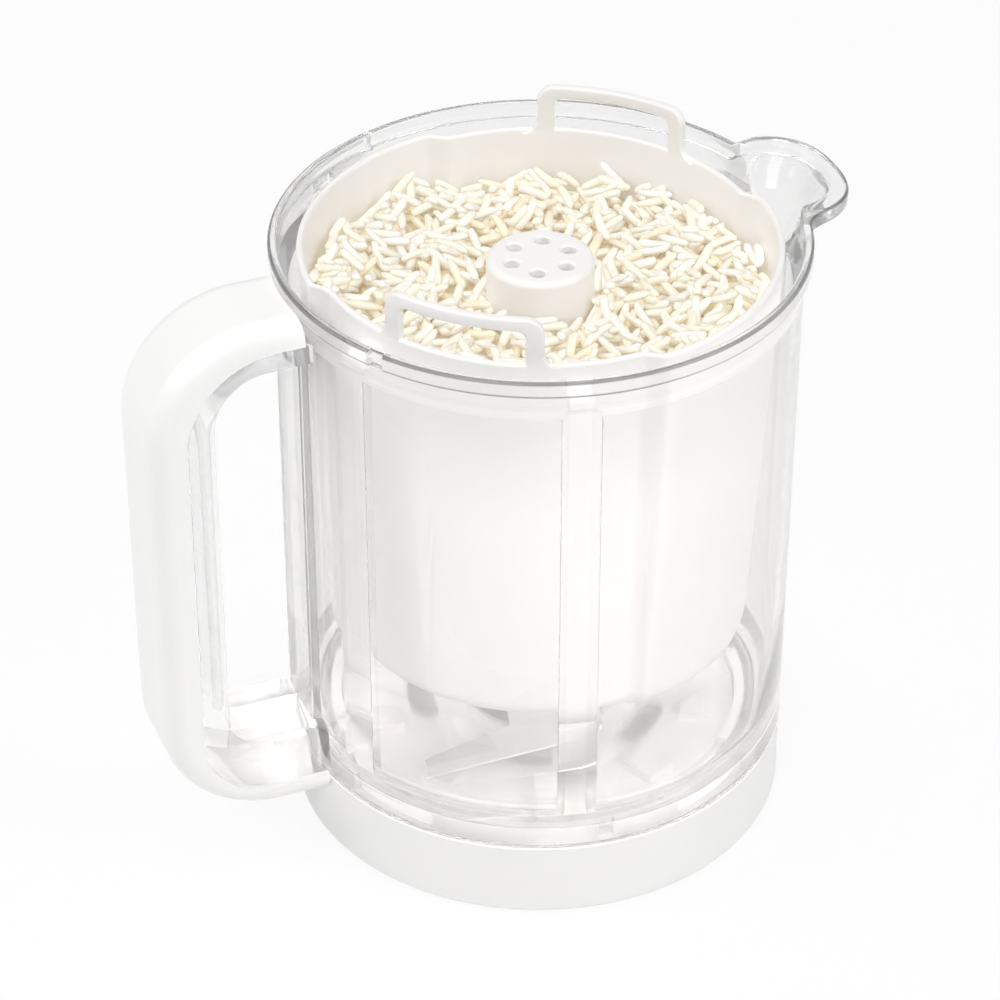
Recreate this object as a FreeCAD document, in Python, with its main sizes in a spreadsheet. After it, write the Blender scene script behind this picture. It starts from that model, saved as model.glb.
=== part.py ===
import FreeCAD, Part
import math
import os
import Sketcher
from FreeCAD import Placement, Rotation, Vector

# Work bowl of a baby food maker: a clear jug with handle and spout, a twist-off base ring that carries
# the blade unit, and a rice basket that hangs on the jug's ribs.
# Millimetres and degrees. The origin is on the jug's axis at table level, the handle points along -X.

SIZES = {
    # How far a cutting shape passes the face it cuts
    "overcut": 1.0,
    # Jug wall, rim and floor
    "wall_foot_radius": 64.0,
    "wall_draft": 0.4,
    "wall_top_radius": "=wall_foot_radius + wall_draft",
    "wall": 2.6,
    "rim_step": 2.1,
    "rim_radius": "=wall_top_radius + rim_step",
    "rim_height": 162.8,
    "lip_wall": 2.3,
    "band_height": 4.8,
    "flare_height": 6.0,
    "flare_step": 0.6,
    "lid_seat_depth": 8.0,
    "lid_seat_slope": 2.4,
    "ring_height": 20.5,
    "floor_lift": 7.0,
    "floor_top": "=ring_height + floor_lift",
    "floor_thickness": 3.0,
    "floor_fillet": 7.0,
    "floor_hole_radius": 15.0,
    "skirt_wall": 2.7,
    "skirt_depth": 14.0,
    "skirt_foot": "=floor_top - floor_thickness - skirt_depth",
    # Breaks in the rim band and the lug for the lid
    "break_angle_front": 212.0,
    "break_angle_back": 109.5,
    "break_width": 3.4,
    "break_drop": 0.5,
    "lug_angle": 126.0,
    "lug_width": 7.0,
    "lug_depth": 2.2,
    "lug_height": 3.0,
    # Ribs inside the jug
    "rib_axis": 229.0,
    "rib_spread": 27.6,
    "rib_width": 7.0,
    "rib_depth": 4.6,
    "rib_drop": 11.3,
    "rib_top": "=rim_height - rib_drop",
    "rib_inner_radius": "=wall_foot_radius - wall - rib_depth",
    # Spout
    "spout_overhang": 13.0,
    "spout_reach": "=rim_radius + spout_overhang",
    "spout_radius": 22.3,
    "spout_rise": 2.2,
    "spout_lip": 2.2,
    "spout_lip_height": 4.4,
    "spout_wall": 2.4,
    "spout_depth": 27.0,
    "spout_foot_radius": 11.0,
    # Handle: clear core, white cover and the spine on the jug wall
    "handle_depth": 39.0,
    "handle_reach": "=rim_radius + handle_depth",
    "handle_drop": 2.3,
    "handle_top": "=rim_height - handle_drop",
    "handle_sink": 4.5,
    "handle_foot": "=ring_height - handle_sink",
    "handle_corner": 30.0,
    "cover_depth": 9.5,
    "cover_top_depth": 7.0,
    "cover_foot_depth": 6.6,
    "core_back": "=handle_reach - cover_depth",
    "core_top": "=handle_top - cover_top_depth",
    "core_foot": "=handle_foot + cover_foot_depth",
    "core_top_corner": 24.0,
    "core_foot_corner": 19.0,
    "core_width": 25.0,
    "core_sink": 1.9,
    "core_edge": 4.0,
    "core_back_depth": 8.0,
    "core_top_depth": 7.0,
    "core_foot_depth": 15.1,
    "gap_back": "=core_back - core_back_depth",
    "gap_top": "=core_top - core_top_depth",
    "gap_foot": "=core_foot + core_foot_depth",
    "gap_top_corner": 14.0,
    "gap_foot_corner": 5.0,
    "cover_side": 1.0,
    "cover_width": "=core_width + 2 * cover_side",
    "cover_wall": 2.5,
    "cover_edge": 5.5,
    "cover_gap": 0.12,
    "cover_end_gap": 0.5,
    "spine_width": 18.0,
    "spine_depth": 1.6,
    "spine_reach": "=wall_top_radius + spine_depth",
    # Base ring and its bayonet
    "ring_wall": 2.5,
    "ring_edge": 1.2,
    "ring_gap": 0.3,
    "socket_depth": 5.0,
    "web_thickness": 2.5,
    "collar_wall": 3.0,
    "collar_gap": 0.5,
    "collar_drop": 0.9,
    "collar_top": "=floor_top - floor_thickness - collar_drop",
    "bayonet_count": 4,
    "bayonet_angle": 253.0,
    "bayonet_width": 16.0,
    "bayonet_lug_height": 2.6,
    "bayonet_depth": 2.4,
    "bayonet_play": 0.3,
    "window_width": 24.0,
    "window_depth": 5.6,
    "window_foot": "=collar_top - window_depth",
    "slit_width": 4.0,
    # Blade carrier, hung from the floor through the gasket and the housing's flange
    "gasket_thickness": 1.0,
    "gasket_width": 4.5,
    "housing_flange": 2.0,
    "carrier_top": "=floor_top - floor_thickness - gasket_thickness - housing_flange",
    "carrier_depth": 6.0,
    "carrier_foot": "=carrier_top - carrier_depth",
    "carrier_gap": 0.2,
    "carrier_plate": 2.5,
    "carrier_rim": 7.0,
    "ledge_width": 6.0,
    "ledge_thickness": 2.5,
    "ledge_height": "=carrier_foot - ledge_thickness",
    "slot_radius": 31.0,
    "slot_width": 7.0,
    "slot_arc": 36.0,
    "slot_count": 5,
    "slot_angle": 309.0,
    "slot_end": 6.5,
    "block_margin": 3.4,
    "block_length": 10.0,
    "block_width": 8.0,
    "block_height": 2.2,
    "block_count": 10,
    "block_angle": 324.0,
    "screw_radius": 1.5,
    "screw_head_radius": 2.8,
    "screw_head_height": 2.2,
    "screw_bite": 5.0,
    "screw_count": 5,
    # Shaft, bearing housing and seals
    "shaft_radius": 4.0,
    "shaft_fit": 0.03,
    "shaft_relief": 0.8,
    "bush_wall": 3.0,
    "bush_radius": "=shaft_radius + bush_wall",
    "bush_length": 3.6,
    "seal_wall": 4.0,
    "seal_radius": "=shaft_radius + seal_wall",
    "seal_height": 3.0,
    "seal_lip": 0.08,
    "housing_wall": 6.0,
    "housing_radius": "=bush_radius + housing_wall",
    "housing_length": 6.0,
    "housing_foot": "=carrier_top - housing_length",
    "housing_rise": 0.7,
    "housing_top": "=floor_top + housing_rise",
    "housing_play": 0.6,
    "tube_wall": 3.0,
    "tube_length": 5.0,
    "tube_foot": "=carrier_top - tube_length",
    # Blade clamp and drive
    "stud_radius": 3.0,
    "stud_length": 5.5,
    "washer_wall": 5.0,
    "washer_thickness": 0.8,
    "clip_wall": 2.2,
    "clip_thickness": 0.8,
    "clip_groove": 0.6,
    "clip_mouth": 5.0,
    "seat_radius": 12.0,
    "seat_thickness": 1.5,
    "blade_thickness": 1.5,
    "blade_bevel": 2.6,
    "blade_bevel_drop": 0.9,
    "cutting_edge_reach": 33.5,
    "blade_play": 1.8,
    "blade_tip_radius": "=rib_inner_radius - blade_play",
    "blade_width": 11.0,
    "arm_root": 10.8,
    "arm_elbow": 4.8,
    "arm_edge_start": 3.6,
    "arm_crook": 16.8,
    "hub_top_radius": 9.0,
    "hub_height": 9.5,
    "nut_wall": 3.2,
    "nut_height": 7.2,
    "nut_dome": 2.5,
    "coupling_radius": 13.0,
    "coupling_wall": 2.6,
    "coupling_plate": 2.2,
    "coupling_cup": 3.6,
    "coupling_hub_wall": 3.6,
    "coupling_hub_height": 2.3,
    "coupling_gap": 0.4,
    "tooth_count": 6,
    "tooth_width": 3.0,
    "tooth_depth": 2.2,
    "pin_radius": 0.8,
    # Rice basket
    "basket_drop": 2.0,
    "basket_rim": "=rim_height - basket_drop",
    "blending_room": 24.5,
    "basket_foot": "=floor_top + blending_room",
    "basket_play": 2.3,
    "wide_top_radius": "=wall_top_radius - wall - basket_play",
    "wide_draft": 6.0,
    "wide_foot_radius": "=wide_top_radius - wide_draft",
    "rib_play": 0.8,
    "narrow_top_radius": "=rib_inner_radius - rib_play",
    "narrow_draft": 5.2,
    "narrow_foot_radius": "=narrow_top_radius - narrow_draft",
    "basket_wall": 1.8,
    "basket_fillet": 6.0,
    "wide_arc": 85.0,
    "loop_axis": 47.5,
    "loop_width": 40.0,
    "loop_post": 4.4,
    "loop_height": 12.2,
    "loop_top": "=basket_rim + loop_height",
    "loop_bar": 3.4,
    "loop_thickness": 2.4,
    "loop_corner": 4.2,
    "column_drop": 6.8,
    "column_top": "=rim_height - column_drop",
    "column_radius": 13.3,
    "column_flare": 1.3,
    "column_foot_radius": "=column_radius + column_flare",
    "column_wall": 1.8,
    "column_edge": 1.7,
    "vent_radius": 1.9,
    "vent_circle": 7.7,
    "vent_count": 6,
    "vent_angle": 3.0,
    "seat_tab_width": 6.0,
    "seat_tab_height": 3.0,
    "seat_tab_bite": 2.8,
    "seat_tab_reach": "=rib_inner_radius + seat_tab_bite",
}

# How near an edge lies to where it is looked for, and the slack when a whole run of edges is meant
NEAR = 0.05
SLACK = 1.0

doc = FreeCAD.newDocument("baby_food_maker_bowl")
sheet = doc.addObject("Spreadsheet::Sheet", "Sizes")
for row, (alias, value) in enumerate(SIZES.items(), start=1):
    sheet.set(f"A{row}", alias)
    sheet.set(f"B{row}", str(value))
    sheet.setAlias(f"B{row}", alias)
doc.recompute()


def size(alias):
    """A driving dimension as a number, for counts and for geometry that no feature can hold."""
    return float(getattr(sheet, alias))


def number(text):
    """The value of a plus and minus chain of sizes and numbers."""
    total, sign = 0.0, 1
    for word in text.split():
        if word in "+-":
            sign = 1 if word == "+" else -1
        else:
            total += sign * (size(word) if word in SIZES else float(word))
    return total


def bind(obj, **expressions):
    """Tie properties of an object to the sheet; a double underscore stands for a dot."""
    for name, expression in expressions.items():
        obj.setExpression(name.replace("__", "."), str(expression))
    return obj


def named(text):
    """Let expressions name a size without the sheet's own name in front."""
    words = str(text).split()
    return " ".join(f"Sizes.{word}" if word in SIZES else word for word in words)


# Sketches and bodies

def new_body(name):
    body = doc.addObject("PartDesign::Body", name)
    body.Label = name
    return body


def new_sketch(body, name, role, height=None):
    """A sketch on one of the body's own origin planes, moved along its normal if a height is given."""
    sketch = body.newObject("Sketcher::SketchObject", name)
    plane = next(item for item in body.Origin.OriginFeatures if item.Role == role)
    sketch.AttachmentSupport = [(plane, "")]
    sketch.MapMode = "FlatFace"
    if height is not None:
        bind(sketch, AttachmentOffset__Base__z=named(height))
    return sketch


def outline(sketch, corners):
    """A closed polygon whose corners are pairs of expressions, every coordinate bound to the sheet."""
    count = len(corners)
    start = [Vector(math.cos(math.tau * i / count), math.sin(math.tau * i / count), 0) for i in range(count)]
    for i in range(count):
        sketch.addGeometry(Part.LineSegment(start[i], start[(i + 1) % count]), False)
    for i in range(count):
        sketch.addConstraint(Sketcher.Constraint("Coincident", i, 2, (i + 1) % count, 1))
    for i, (across, along) in enumerate(corners):
        for kind, value, expression in (("DistanceX", start[i].x, across), ("DistanceY", start[i].y, along)):
            index = sketch.addConstraint(Sketcher.Constraint(kind, -1, 1, i, 1, value))
            sketch.setExpression(f"Constraints[{index}]", named(expression))
    doc.recompute()


def circle(sketch, centre, radius):
    """A circle with its centre on the sketch's X axis."""
    geometry = sketch.addGeometry(Part.Circle(Vector(1, 0, 0), Vector(0, 0, 1), 1.0), False)
    sketch.addConstraint(Sketcher.Constraint("PointOnObject", geometry, 3, -1))
    index = sketch.addConstraint(Sketcher.Constraint("DistanceX", -1, 1, geometry, 3, 1.0))
    sketch.setExpression(f"Constraints[{index}]", named(centre))
    index = sketch.addConstraint(Sketcher.Constraint("Radius", geometry, 1.0))
    sketch.setExpression(f"Constraints[{index}]", named(radius))
    doc.recompute()


def revolved(name, corners):
    """A body turned about the Z axis from an outline of (radius, height) corners."""
    body = new_body(name)
    sketch = new_sketch(body, name + "_outline", "YZ_Plane")
    outline(sketch, corners)
    turn = body.newObject("PartDesign::Revolution", name + "_turn")
    turn.Profile = sketch
    turn.ReferenceAxis = (sketch, ["V_Axis"])
    turn.Angle = 360
    doc.recompute()
    return body


def padded_sideways(name, corners, width):
    """A body padded both ways from the XZ plane."""
    body = new_body(name)
    sketch = new_sketch(body, name + "_outline", "XZ_Plane")
    outline(sketch, corners)
    pad = body.newObject("PartDesign::Pad", name + "_pad")
    pad.Profile = sketch
    pad.SideType = "Symmetric"
    bind(pad, Length=named(width))
    doc.recompute()
    return body


def lofted_circles(name, sections):
    """A body lofted through level circles given as (centre, radius, height)."""
    body = new_body(name)
    sketches = []
    for level, (centre, radius, height) in enumerate(sections):
        sketch = new_sketch(body, f"{name}_section_{level}", "XY_Plane", height)
        circle(sketch, centre, radius)
        sketches.append(sketch)
    loft = body.newObject("PartDesign::AdditiveLoft", name + "_loft")
    loft.Profile = sketches[0]
    loft.Sections = sketches[1:]
    loft.Ruled = True
    doc.recompute()
    return body


def rounded(body, radius, wanted):
    """Round the body's edges that the test picks."""
    base = body.Tip
    names = [f"Edge{i}" for i, edge in enumerate(base.Shape.Edges, start=1) if wanted(edge)]
    if not names:
        raise ValueError(f"no edge to round on {body.Label}")
    fillet = body.newObject("PartDesign::Fillet", body.Label + "_round")
    fillet.Base = (base, names)
    bind(fillet, Radius=named(radius))
    doc.recompute()
    return body


# Part primitives and booleans

def cylinder(name, radius, low, high, x="0", y="0"):
    solid = doc.addObject("Part::Cylinder", name)
    bind(solid, Radius=named(radius), Height=named(f"( {high} ) - ( {low} )"), Placement__Base__z=named(low))
    bind(solid, Placement__Base__x=named(x), Placement__Base__y=named(y))
    return solid


def sector(name, inner, outer, low, high, middle, width):
    """Part of a ring, between two radii and two heights, centred on an angle."""
    wedge = cylinder(name + "_wedge", outer, low, high)
    wedge.Placement.Rotation = Rotation(Vector(0, 0, 1), 1)
    bind(wedge, Angle=named(width), Placement__Rotation__Angle=named(f"{middle} - ( {width} ) / 2"))
    core = cylinder(name + "_core", inner, f"{low} - overcut", f"{high} + overcut")
    return cut(name, wedge, core)


def bar(name, near, far, width, low, high, angle="0"):
    """A box that lies along a radius, turned about the Z axis."""
    box = doc.addObject("Part::Box", name + "_box")
    bind(box, Length=named(f"( {far} ) - ( {near} )"), Width=named(width))
    bind(box, Height=named(f"( {high} ) - ( {low} )"))
    bind(box, Placement__Base__x=named(near), Placement__Base__y=named(f"0 - ( {width} ) / 2"))
    bind(box, Placement__Base__z=named(low))
    turned = doc.addObject("Part::Compound", name)
    turned.Links = [box]
    turned.Placement.Rotation = Rotation(Vector(0, 0, 1), 1)
    bind(turned, Placement__Rotation__Angle=named(angle))
    return turned


def cut(name, base, tool):
    result = doc.addObject("Part::Cut", name)
    result.Base = base
    result.Tool = tool
    result.Label = name
    return result


def fuse(name, shapes):
    result = doc.addObject("Part::MultiFuse", name)
    result.Shapes = shapes
    result.Label = name
    return result


def common(name, shapes):
    result = doc.addObject("Part::MultiCommon", name)
    result.Shapes = shapes
    result.Label = name
    return result


def around(count_alias, angle, make):
    """Repeat a piece evenly about the axis; the maker gets a number and an angle expression."""
    count = round(size(count_alias))
    return [make(i, f"{angle} + {i} * 360 / {count_alias}") for i in range(count)]


def on_circle(radius, angle):
    """X and Y expressions of a point at a radius and an angle."""
    return f"( {radius} ) * cos( {angle} )", f"( {radius} ) * sin( {angle} )"


def at_corner(edge, x, z):
    """True for an edge that runs sideways through (x, z), given as expressions."""
    centre = edge.BoundBox.Center
    in_place = abs(centre.x - number(x)) < NEAR and abs(centre.z - number(z)) < NEAR
    return in_place and edge.BoundBox.YLength > SLACK


def at_ring(edge, radius, z):
    """True for a full circle about the axis at a radius and height, given as expressions."""
    box = edge.BoundBox
    in_place = abs(box.XMax - number(radius)) < NEAR and abs(box.Center.z - number(z)) < NEAR
    return in_place and box.ZLength < NEAR


# Jug

LIP_INNER = "rim_radius - lip_wall"
BAND_FOOT = "rim_height - band_height"
SPOUT_TOP = "rim_height + spout_rise"
SKIRT_OUTER = "wall_foot_radius - ring_wall - ring_gap"
SKIRT_INNER = f"{SKIRT_OUTER} - skirt_wall"
FLOOR_FOOT = "floor_top - floor_thickness"


def jug_outside():
    """The jug as if it were full, with the skirt under its floor."""
    step = "ring_height + ring_gap"
    return revolved("jug_outside", [
        (SKIRT_OUTER, "skirt_foot"),
        (SKIRT_OUTER, step),
        ("wall_foot_radius", step),
        ("wall_top_radius", f"{BAND_FOOT} - flare_height"),
        ("rim_radius - flare_step", BAND_FOOT),
        ("rim_radius", BAND_FOOT),
        ("rim_radius", "rim_height"),
        ("floor_hole_radius", "rim_height"),
        ("floor_hole_radius", FLOOR_FOOT),
        (SKIRT_INNER, FLOOR_FOOT),
        (SKIRT_INNER, "skirt_foot"),
    ])


def jug_inside():
    """The room inside the jug, with the step for the lid and a rounded floor corner."""
    seat = "rim_height - lid_seat_depth"
    room = revolved("jug_inside", [
        ("0", "floor_top"),
        ("wall_foot_radius - wall", "floor_top"),
        ("wall_top_radius - wall", f"{seat} - lid_seat_slope"),
        (LIP_INNER, seat),
        (LIP_INNER, f"{SPOUT_TOP} + overcut"),
        ("0", f"{SPOUT_TOP} + overcut"),
    ])
    return rounded(room, "floor_fillet", lambda edge: at_ring(edge, "wall_foot_radius - wall", "floor_top"))


def spout():
    """The lip, the pouch under it and the hollow to be cut from both and from the wall."""
    centre = "spout_reach - spout_radius"
    foot = "rim_height - spout_depth"
    foot_centre = "wall_top_radius - wall - spout_foot_radius"
    pouch_radius = "spout_radius - spout_lip"
    lip = cylinder("spout_rim", "spout_radius", f"{SPOUT_TOP} - spout_lip_height", SPOUT_TOP, x=centre)
    pouch = lofted_circles("spout_pouch", [
        (centre, pouch_radius, SPOUT_TOP),
        (foot_centre, "spout_foot_radius", foot),
    ])
    hollow = lofted_circles("spout_hollow", [
        (centre, f"{pouch_radius} - spout_wall", f"{SPOUT_TOP} + spout_wall"),
        (f"{foot_centre} - spout_wall", "spout_foot_radius", f"{foot} + spout_wall"),
    ])
    return lip, pouch, hollow


def handle_core():
    """The clear C of the handle, with its ends sunk in the jug wall."""
    root = "0 - wall_top_radius + core_sink"
    core = padded_sideways("handle_core", [
        (root, "core_top"),
        ("0 - core_back", "core_top"),
        ("0 - core_back", "core_foot"),
        (root, "core_foot"),
        (root, "gap_foot"),
        ("0 - gap_back", "gap_foot"),
        ("0 - gap_back", "gap_top"),
        (root, "gap_top"),
    ], "core_width")
    rounded(core, "core_top_corner", lambda edge: at_corner(edge, "0 - core_back", "core_top"))
    rounded(core, "core_foot_corner", lambda edge: at_corner(edge, "0 - core_back", "core_foot"))
    rounded(core, "gap_top_corner", lambda edge: at_corner(edge, "0 - gap_back", "gap_top"))
    rounded(core, "gap_foot_corner", lambda edge: at_corner(edge, "0 - gap_back", "gap_foot"))
    side = size("core_width") / 2

    def on_gap_rim(edge):
        box = edge.BoundBox
        on_side = abs(abs(box.Center.y) - side) < NEAR and box.YLength < NEAR
        in_height = box.ZMin > size("gap_foot") - SLACK and box.ZMax < size("gap_top") + SLACK
        return on_side and in_height and box.XMin > -size("gap_back") - SLACK

    return rounded(core, "core_edge", on_gap_rim)


def jug_body():
    lip, pouch, hollow = spout()
    ribs = []
    for turn in (0, 180):
        for sign in ("+", "-"):
            ribs.append(bar(f"rib_{len(ribs)}", "rib_inner_radius", "wall_foot_radius - wall / 2",
                            "rib_width", "floor_top - floor_thickness / 2", "rib_top",
                            f"rib_axis + {turn} {sign} rib_spread"))
    bayonets = around("bayonet_count", "bayonet_angle", lambda i, angle: sector(
        f"jug_bayonet_{i}", f"{SKIRT_INNER} - bayonet_depth", f"{SKIRT_INNER} + skirt_wall / 2",
        "skirt_foot", "skirt_foot + bayonet_lug_height", angle, "bayonet_width"))
    lid_lug = sector("lid_lug", f"{LIP_INNER} - lug_depth", f"{LIP_INNER} + lip_wall / 2",
                     f"{BAND_FOOT} - lug_height", BAND_FOOT, "lug_angle", "lug_width")
    spine = bar("spine", "wall_top_radius - wall / 2", "spine_reach", "spine_width",
                "gap_foot - core_edge", "gap_top + core_edge", "180")
    breaks = [sector(f"band_break_{i}", "wall_top_radius + flare_step", "rim_radius + overcut",
                     f"{BAND_FOOT} - break_drop", "rim_height + overcut", angle, "break_width")
              for i, angle in enumerate(("break_angle_front", "break_angle_back"))]
    filled = fuse("jug_filled", [jug_outside(), lip, pouch])
    opened = cut("jug_opened", filled, fuse("jug_openings", [jug_inside(), hollow]))
    broken = cut("jug_broken", opened, fuse("band_breaks", breaks))
    return fuse("jug_body", [broken, handle_core(), spine, lid_lug] + ribs + bayonets)


# Handle cover

def cover_block(name, inset, seat_gap, width):
    """A solid C round the core: inset from the handle's outside, and a gap away from the core."""
    root = "0 - wall_foot_radius + wall"
    reach = f"0 - handle_reach + {inset}"
    top, foot = f"handle_top - {inset}", f"handle_foot + {inset}"
    seat_back = f"0 - core_back - {seat_gap}"
    seat_top, seat_foot = f"core_top + {seat_gap}", f"core_foot - {seat_gap}"
    block = padded_sideways(name, [
        (root, top),
        (reach, top),
        (reach, foot),
        (root, foot),
        (root, seat_foot),
        (seat_back, seat_foot),
        (seat_back, seat_top),
        (root, seat_top),
    ], width)
    rounded(block, f"handle_corner - {inset}",
            lambda edge: at_corner(edge, reach, top) or at_corner(edge, reach, foot))
    rounded(block, "core_top_corner", lambda edge: at_corner(edge, seat_back, seat_top))
    rounded(block, "core_foot_corner", lambda edge: at_corner(edge, seat_back, seat_foot))
    return block


def handle_cover():
    """A white shell over the outside of the clear core, open towards it."""
    outer = cover_block("cover_outside", "0", "cover_gap", "cover_width")
    side = size("cover_width") / 2
    seat_back = -number("core_back + cover_gap")
    seat_top, seat_foot = number("core_top + cover_gap"), number("core_foot - cover_gap")

    def on_outer_rim(edge):
        box = edge.BoundBox
        on_side = abs(abs(box.Center.y) - side) < NEAR and box.YLength < NEAR
        in_height = box.ZMin > seat_foot - NEAR and box.ZMax < seat_top + SLACK
        on_seat = in_height and box.XMin > seat_back - SLACK
        at_root = box.XLength < NEAR and box.XMin > seat_back
        return on_side and not on_seat and not at_root

    rounded(outer, "cover_edge", on_outer_rim)
    inner = cover_block("cover_hollow", "cover_wall", "0 - cover_gap", "cover_width - 2 * cover_wall")
    shell = cut("cover_shell", outer, inner)
    middle = "( handle_top + handle_foot ) / 2"
    upper = cylinder("cover_upper_end", "rim_radius + cover_end_gap", middle, "rim_height + overcut")
    lower = cylinder("cover_lower_end", "wall_foot_radius + cover_end_gap", "0", middle)
    return cut("handle_cover", shell, fuse("cover_ends", [upper, lower]))


# Base ring and blade carrier

COLLAR_OUTER = f"{SKIRT_INNER} - bayonet_depth - collar_gap"
COLLAR_INNER = f"{COLLAR_OUTER} - collar_wall"
HOOK_FOOT = "skirt_foot + bayonet_lug_height + bayonet_play"
SCREW_CIRCLE = f"{COLLAR_INNER} - ledge_width / 2"


def screw_places(make):
    return around("screw_count", "block_angle", make)


def base_ring():
    ring_inner = "wall_foot_radius - ring_wall"
    web_top = "socket_depth + web_thickness"
    ring = revolved("ring_turned", [
        ("wall_foot_radius", "0"),
        ("wall_foot_radius", "ring_height"),
        (ring_inner, "ring_height"),
        (ring_inner, web_top),
        (COLLAR_OUTER, web_top),
        (COLLAR_OUTER, "collar_top"),
        (COLLAR_INNER, "collar_top"),
        (COLLAR_INNER, "carrier_foot"),
        (f"{COLLAR_INNER} - ledge_width", "carrier_foot"),
        (f"{COLLAR_INNER} - ledge_width", "ledge_height"),
        (COLLAR_INNER, "ledge_height"),
        (COLLAR_INNER, "socket_depth"),
        (ring_inner, "socket_depth"),
        (ring_inner, "0"),
    ])
    rounded(ring, "ring_edge", lambda edge: at_ring(edge, "wall_foot_radius", "0"))
    hooks = around("bayonet_count", "bayonet_angle", lambda i, angle: sector(
        f"ring_hook_{i}", f"{COLLAR_OUTER} - collar_wall / 2", f"{COLLAR_OUTER} + bayonet_depth",
        HOOK_FOOT, f"{HOOK_FOOT} + bayonet_lug_height", angle, "bayonet_width"))
    windows = around("bayonet_count", "bayonet_angle - 360 / bayonet_count / 2", lambda i, angle: sector(
        f"ring_window_{i}", f"{COLLAR_INNER} - overcut / 2", f"{COLLAR_OUTER} + overcut / 2",
        "window_foot", "collar_top + overcut", angle, "window_width"))
    slits = around("bayonet_count", "bayonet_angle + bayonet_width / 2 + slit_width", lambda i, angle: sector(
        f"ring_slit_{i}", f"{COLLAR_INNER} - overcut / 2", f"{COLLAR_OUTER} + overcut / 2",
        "window_foot", "collar_top + overcut", angle, "slit_width"))
    holes = screw_places(lambda i, angle: cylinder(
        f"ledge_hole_{i}", "screw_radius + carrier_gap", "ledge_height - overcut",
        "carrier_foot + overcut", *on_circle(SCREW_CIRCLE, angle)))
    return cut("base_ring", fuse("ring_hooked", [ring] + hooks), fuse("ring_cuts", windows + slits + holes))


def blade_carrier():
    outer = f"{COLLAR_INNER} - carrier_gap"
    plate_foot = "carrier_top - carrier_plate"
    bore = "housing_radius + shaft_fit"
    disc = revolved("carrier_turned", [
        (bore, "carrier_top"),
        (outer, "carrier_top"),
        (outer, "carrier_foot"),
        (f"{outer} - carrier_rim", "carrier_foot"),
        (f"{outer} - carrier_rim", plate_foot),
        (f"{bore} + tube_wall", plate_foot),
        (f"{bore} + tube_wall", "tube_foot"),
        (bore, "tube_foot"),
    ])
    block_outer = f"{outer} - block_margin"
    blocks = around("block_count", "block_angle", lambda i, angle: bar(
        f"carrier_block_{i}", f"{block_outer} - block_length", block_outer, "block_width",
        f"{plate_foot} + carrier_plate / 2", "carrier_top + block_height", angle))
    slots = around("slot_count", "slot_angle", lambda i, angle: sector(
        f"carrier_slot_{i}", "slot_radius - slot_width / 2", "slot_radius + slot_width / 2",
        f"{plate_foot} - overcut", "carrier_top + overcut", angle, "slot_arc - 2 * slot_end"))
    ends = []
    for sign in ("+", "-"):
        middle = f"slot_angle {sign} ( slot_arc / 2 - slot_end )"
        ends += around("slot_count", middle, lambda i, angle: cylinder(
            f"carrier_slot_end_{len(ends)}_{i}", "slot_width / 2",
            f"{plate_foot} - overcut", "carrier_top + overcut", *on_circle("slot_radius", angle)))
    pilots = screw_places(lambda i, angle: cylinder(
        f"carrier_pilot_{i}", "screw_radius", "carrier_foot - overcut", "carrier_foot + screw_bite",
        *on_circle(SCREW_CIRCLE, angle)))
    solid = fuse("carrier_blocks", [disc] + blocks)
    return cut("blade_carrier", solid, fuse("carrier_cuts", slots + ends + pilots))


def carrier_screws():
    """Screws up through the ring's ledge into the carrier, all in one node."""
    def screw(i, angle):
        place = on_circle(SCREW_CIRCLE, angle)
        head = cylinder(f"screw_head_{i}", "screw_head_radius", "ledge_height - screw_head_height",
                        "ledge_height", *place)
        shank = cylinder(f"screw_shank_{i}", "screw_radius", "ledge_height - screw_head_height / 2",
                         "carrier_foot + screw_bite", *place)
        return fuse(f"screw_{i}", [head, shank])

    group = doc.addObject("Part::Compound", "carrier_screws")
    group.Links = screw_places(screw)
    return group


# Bearing housing, bushes and seals

def bearing_housing():
    flange_radius = "floor_hole_radius + housing_play / 2 + gasket_width + housing_play / 3"
    flange_top = "carrier_top + housing_flange"
    neck = "floor_hole_radius - housing_play"
    seal_foot = "housing_top - seal_height"
    relief = "shaft_radius + shaft_relief"
    return revolved("bearing_housing", [
        ("housing_radius", "housing_foot"),
        ("housing_radius", "carrier_top"),
        (flange_radius, "carrier_top"),
        (flange_radius, flange_top),
        (neck, flange_top),
        (neck, "housing_top"),
        ("seal_radius", "housing_top"),
        ("seal_radius", seal_foot),
        ("bush_radius", seal_foot),
        ("bush_radius", f"{seal_foot} - bush_length"),
        (relief, f"{seal_foot} - bush_length"),
        (relief, "housing_foot + bush_length"),
        ("bush_radius", "housing_foot + bush_length"),
        ("bush_radius", "housing_foot"),
    ])


def plain_ring(name, inner, outer, low, high):
    return revolved(name, [(inner, low), (outer, low), (outer, high), (inner, high)])


def seals_and_bushes():
    running = "shaft_radius + shaft_fit"
    seal_foot = "housing_top - seal_height"
    gasket_inner = "floor_hole_radius + housing_play / 2"
    flange_top = "carrier_top + housing_flange"
    return [
        plain_ring("floor_gasket", gasket_inner, f"{gasket_inner} + gasket_width",
                   flange_top, "floor_top - floor_thickness"),
        plain_ring("upper_bush", running, "bush_radius", f"{seal_foot} - bush_length", seal_foot),
        plain_ring("lower_bush", running, "bush_radius", "housing_foot", "housing_foot + bush_length"),
        plain_ring("shaft_seal", "shaft_radius + seal_lip", "seal_radius", seal_foot, "housing_top"),
    ]


# Blade unit and drive

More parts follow.
